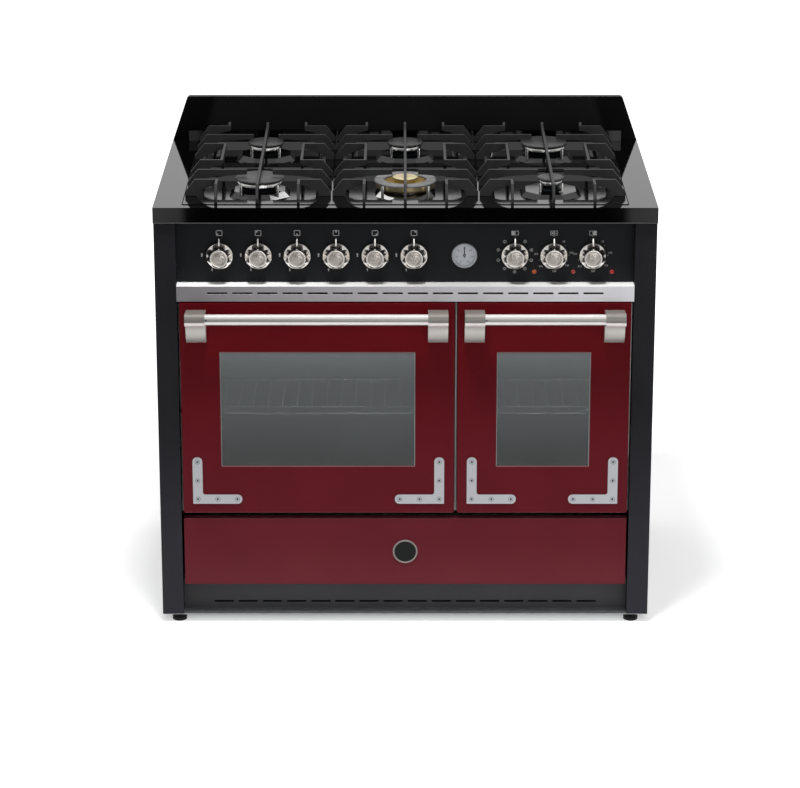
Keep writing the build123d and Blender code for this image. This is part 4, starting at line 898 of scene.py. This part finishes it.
def make_slot_backings():
    """What the slots show: a dark strip behind each row, painted shade for the inside of the range."""
    bm = bmesh.new()
    for node, (z0, z1) in BACKING_HEIGHTS.items():
        face_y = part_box(node)[0].y
        slab(bm, (-BACKING_END, face_y + BACKING_FRONT, z0), (BACKING_END, face_y + BACKING_BACK, z1))
    finish_mesh("slot_shade_strips", bm, MAT["joint_and_shade_dark"], "root")


make_slot_backings()


# ---- painted highlight strips and buffers in the gaps beside the doors ----
STRIP_FRONT, STRIP_BACK = DOOR_FACE + 0.011, FRAME_FACE + 0.0005
STRIP_TOP = 0.686
MIDDLE_STRIP_HALF, MIDDLE_STRIP_LOW = 0.0010, 0.246
RIGHT_STRIP_X, RIGHT_STRIP_LOW = (0.4521, 0.4535), 0.362
BUFFER_PLACES = ((0.4540, 0.652), (0.4540, 0.453), (-0.4540, 0.453))  # x and z
BUFFER_PROFILE = [(0.0, -0.0002), (0.0023, -0.0002), (0.0023, 0.0250), (0.0017, 0.0262), (0.0, 0.0265)]


def make_gap_pieces():
    """Pale strips in the middle and right gaps, painted highlights where a door's edge catches the light,
    and rubber buffers in the outer ones.
    """
    gap = (DOORS["left"][1].x + DOORS["right"][0].x) / 2
    bm = bmesh.new()
    # painted highlights: pale strips in the middle and right gaps
    slab(bm, (gap - MIDDLE_STRIP_HALF, STRIP_FRONT, MIDDLE_STRIP_LOW),
         (gap + MIDDLE_STRIP_HALF, STRIP_BACK, STRIP_TOP))
    slab(bm, (RIGHT_STRIP_X[0], STRIP_FRONT, RIGHT_STRIP_LOW), (RIGHT_STRIP_X[1], STRIP_BACK, STRIP_TOP))
    finish_mesh("door_gap_highlight", bm, MAT["frame_enamel"], "root")
    bm = bmesh.new()
    for x, z in BUFFER_PLACES:
        turned(bm, (x, FRAME_FACE, z), BUFFER_PROFILE, 20)
    finish_mesh("door_side_buffers", bm, MAT["seal"], "root")


make_gap_pieces()


# ---- grub screws in the handle bars ----
GRUB_PROFILE = [(0.0, -0.002), (0.0019, -0.002), (0.0019, 0.0002), (0.0012, 0.0003), (0.0, 0.0001)]
GRUB_INSET, GRUB_SINK, GRUB_RISE = 0.0425, 0.0003, 0.002  # from the brackets' end, bar's front and middle


def make_grub_screw(side):
    """A dark screw in the front of a handle bar, near the left bracket."""
    bracket_low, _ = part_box(f"{side}_door_handle_brackets")
    low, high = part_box(f"{side}_door_handle_bar")
    bm = bmesh.new()
    turned(bm, (bracket_low.x + GRUB_INSET, low.y + GRUB_SINK, (low.z + high.z) / 2 + GRUB_RISE),
           GRUB_PROFILE, 20)
    finish_mesh(f"{side}_handle_grub_screw", bm, MAT["socket_dark"], f"{side}_door")


for side in SIDES:
    make_grub_screw(side)


# ---- painted highlights: turned-in edges of the windows, and pale lines along door and drawer edges ----
WINDOW_SIDE, WINDOW_FOOT, WINDOW_HEAD = 0.079, 0.099, 0.102  # from the door's edges to the window's
RIM_FRONT, RIM_BACK = 0.0004, 0.0014  # depth of the turned-in edges behind the door's face
SILL, LINTEL = 0.0022, 0.0016
JAMB_LEFT, JAMB_RIGHT = 0.0016, 0.0020


def make_window_rim(side):
    """The turned-in edges round a window, painted paler than the door as painted highlights: foot and head
    in one tone, the sides in another.
    """
    low, high = DOORS[side]
    x0, x1, z0, z1 = low.x + WINDOW_SIDE, high.x - WINDOW_SIDE, low.z + WINDOW_FOOT, high.z - WINDOW_HEAD
    y0, y1 = low.y + RIM_FRONT, low.y + RIM_BACK
    bm = bmesh.new()
    slab(bm, (x0, y0, z0), (x1, y1, z0 + SILL))
    slab(bm, (x0, y0, z1 - LINTEL), (x1, y1, z1))
    finish_mesh(f"{side}_window_sills", bm, MAT["window_edge_highlight"], f"{side}_door")
    bm = bmesh.new()
    slab(bm, (x1 - JAMB_RIGHT, y0, z0 + SILL), (x1, y1, z1 - LINTEL))
    slab(bm, (x0, y0, z0 + SILL), (x0 + JAMB_LEFT, y1, z1 - LINTEL))
    finish_mesh(f"{side}_window_jambs", bm, MAT["window_side"], f"{side}_door")


def pale_edge_highlight(name, box, inset, z0, z1, body):
    """A paler line along a long edge: a painted highlight where the edge catches the light."""
    low, high = box
    bm = bmesh.new()
    slab(bm, (low.x + inset, low.y - 0.0002, z0), (high.x - inset, low.y + 0.0004, z1))
    finish_mesh(name, bm, MAT["pale_edge_highlight"], body)


# painted highlights: each window's turned-in edges, a pale line along each door's lower edge and one along
# the drawer's upper edge
for side in SIDES:
    make_window_rim(side)
    foot = DOORS[side][0].z
    pale_edge_highlight(f"{side}_door_lower_edge_highlight", DOORS[side], 0.004, foot + 0.0004, foot + 0.0014, f"{side}_door")
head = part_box("drawer_front")[1].z
pale_edge_highlight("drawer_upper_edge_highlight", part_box("drawer_front"), 0.003, head - 0.0014, head - 0.0003, "drawer")


# ---- the racks' dropped front rails ----
RACK_INNER_ENDS = {"left": 0.047, "right": 0.157}  # x of each rack's end nearest the other oven
RAIL_INSET, RAIL_RADIUS, RAIL_AHEAD = 0.034, 0.0021, 0.0008
RAIL_BEND = [(-0.006, 0.4318), (0.0, 0.4340), (0.005, 0.4390), (0.009, 0.4428), (0.014, 0.4443)]


def make_rack_rail(side):
    """A thick wire along the front of a rack, bent up at both ends. The bend's points are (out, z)."""
    low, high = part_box("oven_racks")
    x0, x1 = (low.x, RACK_INNER_ENDS[side]) if side == "left" else (RACK_INNER_ENDS[side], high.x)
    x0, x1 = x0 + RAIL_INSET, x1 - RAIL_INSET
    path = [(x0 - out, z) for out, z in reversed(RAIL_BEND)] + [(x1 + out, z) for out, z in RAIL_BEND]
    bm = bmesh.new()
    wire(bm, path, low.y - RAIL_AHEAD, RAIL_RADIUS)
    finish_mesh(f"{side}_rack_front_rail", bm, MAT["rack_wire"], "root")


for side in SIDES:
    make_rack_rail(side)


# ---- markings on the control panel ----
MARK = 0.00025  # thickness of the print
ICON_Z = CONTROL_Z + 0.0455
BURNERS = [(-1, -1), (-1, 1), (0, -1), (0, 1), (1, -1), (1, 1)]  # the knobs' burners, seen from above
FUNCTION_STEPS, FUNCTION_REACH = 10, 0.0345
THERMOSTAT_STEPS, THERMOSTAT_REACH = 13, 0.0305


def mark_box(bm, x, z, w, h, turn=0.0):
    """A printed bar on the panel, turned about its own middle."""
    bar = slab(bm, (-w / 2, -MARK, -h / 2), (w / 2, 0.0, h / 2))
    put_at(bm, bar, -turn, "Y", (x, PANEL_FACE, z))


def mark_frame(bm, x, z, w, h, line):
    """A printed rectangle outline."""
    for dz in (-1, 1):
        mark_box(bm, x, z + dz * (h - line) / 2, w, line)
    for dx in (-1, 1):
        mark_box(bm, x + dx * (w - line) / 2, z, line, h)


def mark_ring(bm, x, z, radius, line, count=16):
    """A printed ring."""
    for i in range(count):
        a = 2 * pi * (i + 0.5) / count
        length = 2.1 * radius * sin(pi / count)
        mark_box(bm, x + radius * cos(a), z + radius * sin(a), length, line, a + pi / 2)


def mark_dot(bm, x, z, radius):
    """A printed dot."""
    turned(bm, (x, PANEL_FACE, z), [(0.0, 0.0), (radius, 0.0), (radius, MARK), (0.0, MARK)], 16)


def mark_gas_knob(bm, x, dx, dz):
    """A frame with a dot at the burner's place, an off mark to the left and a low flame mark."""
    mark_frame(bm, x, ICON_Z, 0.0125, 0.0115, 0.0012)
    mark_dot(bm, x + dx * 0.003, ICON_Z + dz * 0.0027, 0.0017)
    mark_dot(bm, x - 0.0352, CONTROL_Z + 0.002, 0.0018)
    mark_box(bm, x - 0.0352, CONTROL_Z - 0.0015, 0.0026, 0.004)
    mark_dot(bm, x - 0.0155, CONTROL_Z - 0.0292, 0.0014)
    mark_box(bm, x - 0.0152, CONTROL_Z - 0.0318, 0.0016, 0.003)


def mark_oven_knob(bm, x, filled):
    """Two small frames for the two ovens, one or both of them marked, and a short line over the knob."""
    for side in (-1, 1):
        mark_frame(bm, x + side * 0.0036, ICON_Z, 0.0074, 0.0095, 0.0011)
    if filled:
        mark_box(bm, x + filled * 0.0036, ICON_Z, 0.0050, 0.0075)
    else:
        mark_box(bm, x + 0.0036, ICON_Z, 0.0045, 0.0011)
        mark_dot(bm, x - 0.0036, ICON_Z, 0.0016)
    mark_box(bm, x, CONTROL_Z + 0.0388, 0.0009, 0.0016)


def mark_functions(bm, x):
    """Rings round the function knob, each with a bar, a dot or two bars."""
    for step in range(1, FUNCTION_STEPS):
        a = pi / 2 - step * 2 * pi / FUNCTION_STEPS
        cx, cz = x + FUNCTION_REACH * cos(a), CONTROL_Z + FUNCTION_REACH * sin(a)
        mark_ring(bm, cx, cz, 0.0029, 0.0007)
        if step % 3 == 1:
            mark_box(bm, cx, cz, 0.0030, 0.0007)
        elif step % 3 == 2:
            mark_dot(bm, cx, cz, 0.0012)
        else:
            mark_box(bm, cx, cz + 0.0012, 0.0030, 0.0006)
            mark_box(bm, cx, cz - 0.0012, 0.0030, 0.0006)


def mark_thermostat(bm, x):
    """Short lines round a thermostat knob."""
    for step in range(1, THERMOSTAT_STEPS, 2):
        a = radians(60 - step * 20)
        mark_box(bm, x + THERMOSTAT_REACH * cos(a), CONTROL_Z + THERMOSTAT_REACH * sin(a), 0.0018, 0.0007, a)


def make_markings():
    """All the marks on the control panel but the numbers."""
    bm = bmesh.new()
    for (dx, dz), x in zip(BURNERS, GAS_X):
        mark_gas_knob(bm, x, dx, dz)
    for filled, x in zip((-1, 0, 1), OVEN_X):
        mark_oven_knob(bm, x, filled)
    mark_functions(bm, OVEN_X[0])
    for x in OVEN_X[1:]:
        mark_thermostat(bm, x)
    finish_mesh("panel_markings", bm, MAT["marking"], "root")


make_markings()


# ---- numbers round the thermostat knobs and on the dial ----
def number(text, at, size, ink, group):
    """A printed number that faces forward, with its middle at a point."""
    curve = bpy.data.curves.new(f"{group}_{text}", "FONT")
    curve.body = text
    curve.size = size
    curve.extrude = MARK / 2
    curve.align_x = "CENTER"
    curve.align_y = "CENTER"
    label = bpy.data.objects.new(curve.name, curve)
    bpy.context.scene.collection.objects.link(label)
    label.location = at
    label.rotation_euler = (pi / 2, 0, 0)
    bpy.context.view_layer.update()
    mesh = bpy.data.meshes.new_from_object(label)
    mesh.transform(label.matrix_world)
    bpy.data.objects.remove(label)
    bm = bmesh.new()
    bm.from_mesh(mesh)
    finish_mesh(f"{group}_{text}", bm, ink, "root")


def number_thermostat(k, x):
    """Temperatures on an arc that is a little wider than it is high."""
    for step, text in zip((1, 3, 5, 7, 9, 11), ("50", "100", "150", "200", "225", "250")):
        a = radians(80 - step * 24)
        at = (x + 0.0352 * cos(a), PANEL_FACE - MARK / 2, CONTROL_Z + 0.0335 * sin(a))
        number(text, at, 0.0052, MAT["marking"], f"oven_knob_{k}_number")


def number_dial():
    """Every fifty degrees on the thermometer's dial."""
    for step in range(7):
        a = radians(240 - step * 50)
        at = (DIAL_X + 0.0150 * cos(a), DIAL_FLOOR - 0.00022, CONTROL_Z + 0.0150 * sin(a))
        number(str(step * 50), at, 0.0044, MAT["dial_ink"], "dial_number")


for k, x in enumerate(OVEN_X[1:], 2):
    number_thermostat(k, x)
number_dial()


# ---- camera ----
def make_camera():
    """A view from in front and above, 17.5 degrees down. The shift moves the picture in its frame."""
    lens = bpy.data.cameras.new("camera")
    camera = bpy.data.objects.new("camera", lens)
    bpy.context.scene.collection.objects.link(camera)
    bpy.context.scene.camera = camera
    camera.location = (-0.0106, -6.0, 2.3795)
    camera.rotation_euler = (pi / 2 - radians(17.5), 0.0, 0.0)
    lens.sensor_width = 36.0
    lens.lens = 134.73
    lens.shift_y = -0.045
    lens.clip_end = 200.0


# ---- floor, world and lamps ----
MATT_LEVEL = 0.38  # strength of the world's light on matt surfaces


def make_floor():
    """A pale floor: white to the eye apart from the object's shadow, which is cast in part and painted in
    part under the range, and dim to reflections far in front.
    """
    n = Nodes("floor_paint")
    ray = n.new("ShaderNodeLightPath").outputs
    aside, ahead = n.math("ABSOLUTE", n.axis("X")), n.math("ABSOLUTE", n.axis("Y"))

    def diffuse(grey):
        node = n.new("ShaderNodeBsdfDiffuse")
        node.inputs["Color"].default_value = (grey, grey, grey, 1)
        return node.outputs[0]

    def emission(strength):
        node = n.new("ShaderNodeEmission")
        n.link(strength, node.inputs["Strength"])
        return node.outputs[0]

    def either(fac, a, b):
        node = n.new("ShaderNodeMixShader")
        for socket, value in zip(node.inputs, (fac, a, b)):
            n.link(value, socket)
        return node.outputs[0]

    # to the eye: a lit floor that glows, more with distance; under the range the glow fades out as a painted
    # contact shadow
    away = n.math("ADD", n.math("POWER", n.axis("X"), 2.0), n.math("POWER", n.axis("Y"), 2.0))
    outside = n.math("MAXIMUM", n.math("SUBTRACT", aside, 0.5), n.math("SUBTRACT", ahead, 0.25))
    painted_contact_shadow = n.span(outside, -0.055, 0.02, smooth=True)
    glow = n.math("MULTIPLY", n.span(away, 0.9, 6.0, 0.52, 1.0, smooth=True), painted_contact_shadow)
    to_eye = n.new("ShaderNodeAddShader")
    n.link(diffuse(0.7), to_eye.inputs[0])
    n.link(emission(glow), to_eye.inputs[1])
    # to reflections: bright from close by and from the sides, dark far in front
    near = n.span(n.axis("Y"), -3.1, -1.2, smooth=True)
    wide = n.span(aside, 0.62, 0.95, 0.0, 0.6, smooth=True)
    level = n.math("MINIMUM", n.math("ADD", near, wide), 1.0)
    mirrored = emission(n.math("MULTIPLY", level, 0.95))
    unseen = either(ray["Is Glossy Ray"], diffuse(0.8), mirrored)
    seen = n.math("MAXIMUM", ray["Is Camera Ray"], ray["Is Transmission Ray"])
    n.link(either(seen, unseen, to_eye.outputs[0]), n.out.inputs["Surface"])
    bpy.ops.mesh.primitive_plane_add(size=60.0, location=(0, 0, 0))
    floor = bpy.context.object
    floor.name = "floor"
    floor.data.materials.append(n.mat)


def make_world():
    """White to the eye; level light on matt surfaces; brighter above and behind in reflections."""
    world = bpy.data.worlds.new("studio")
    bpy.context.scene.world = world
    world.use_nodes = True
    w = Tree(world.node_tree, "Generated")
    ray = w.new("ShaderNodeLightPath").outputs
    above = w.span(w.axis("Z"), 0.35, 0.75, smooth=True)
    behind = w.span(w.axis("Y"), -0.25, 0.35, smooth=True)
    beside = w.span(w.math("ABSOLUTE", w.axis("X")), 0.45, 0.8, 0.0, 0.75, smooth=True)
    bright = w.math("MAXIMUM", w.math("MAXIMUM", above, behind), beside)
    glossy = w.math("ADD", w.math("MULTIPLY", bright, 0.88), 0.12)
    seen = w.math("MAXIMUM", ray["Is Camera Ray"], ray["Is Transmission Ray"])
    is_glossy = ray["Is Glossy Ray"]
    rest = w.math("SUBTRACT", 1.0, w.math("MAXIMUM", seen, is_glossy))
    strength = w.math("ADD", seen, w.math("MULTIPLY", rest, MATT_LEVEL))
    strength = w.math("ADD", strength, w.math("MULTIPLY", is_glossy, glossy))
    background = w.tree.nodes["Background"]
    w.link(strength, background.inputs["Strength"])
    background.inputs["Color"].default_value = (1, 1, 1, 1)
    w.link(background.outputs[0], w.tree.nodes["World Output"].inputs["Surface"])


def lamp(name, spot, aim, size, power, shines="both"):
    """An area lamp, in metres and watts. It shines on matt surfaces, in reflections or both."""
    data = bpy.data.lights.new(name, "AREA")
    data.shape = "RECTANGLE"
    data.size, data.size_y = size
    data.energy = power
    light = bpy.data.objects.new(name, data)
    bpy.context.scene.collection.objects.link(light)
    light.location = spot
    light.rotation_euler = (Vector(aim) - Vector(spot)).to_track_quat("-Z", "Y").to_euler()
    light.visible_glossy = shines != "matt"
    light.visible_diffuse = shines != "gloss"


def oven_lamp(side, power):
    """A strip lamp inside an oven's mouth that lights the rack's front rail."""
    middle, mouth = middle_x(f"{side}_oven_liner"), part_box(f"{side}_oven_liner")[0].y
    lamp(f"{side}_oven_light", (middle, mouth + 0.008, 0.624), (middle, mouth + 0.06, 0.42),
         (0.24, 0.012), power)


make_camera()
make_floor()
make_world()
lamp("key", (-0.15, -1.05, 3.4), (0.0, -0.15, 0.6), (0.5, 0.5), 90.0, "matt")
lamp("glint_left", (-1.37, 0.42, 2.23), (0.0, -0.1, 0.88), (0.2, 0.2), 1.5, "gloss")
lamp("glint_right", (1.08, 0.42, 2.23), (-0.3, -0.1, 0.88), (0.2, 0.2), 1.5, "gloss")
lamp("fill", (0.9, -3.6, 1.6), (0.0, 0.0, 0.5), (2.4, 2.4), 30.0)
lamp("top", (0.0, 0.6, 3.4), (0.0, 0.1, 0.9), (2.4, 1.6), 30.0)
oven_lamp("left", 5.0)
oven_lamp("right", 3.0)

bpy.context.scene.view_settings.view_transform = "Standard"
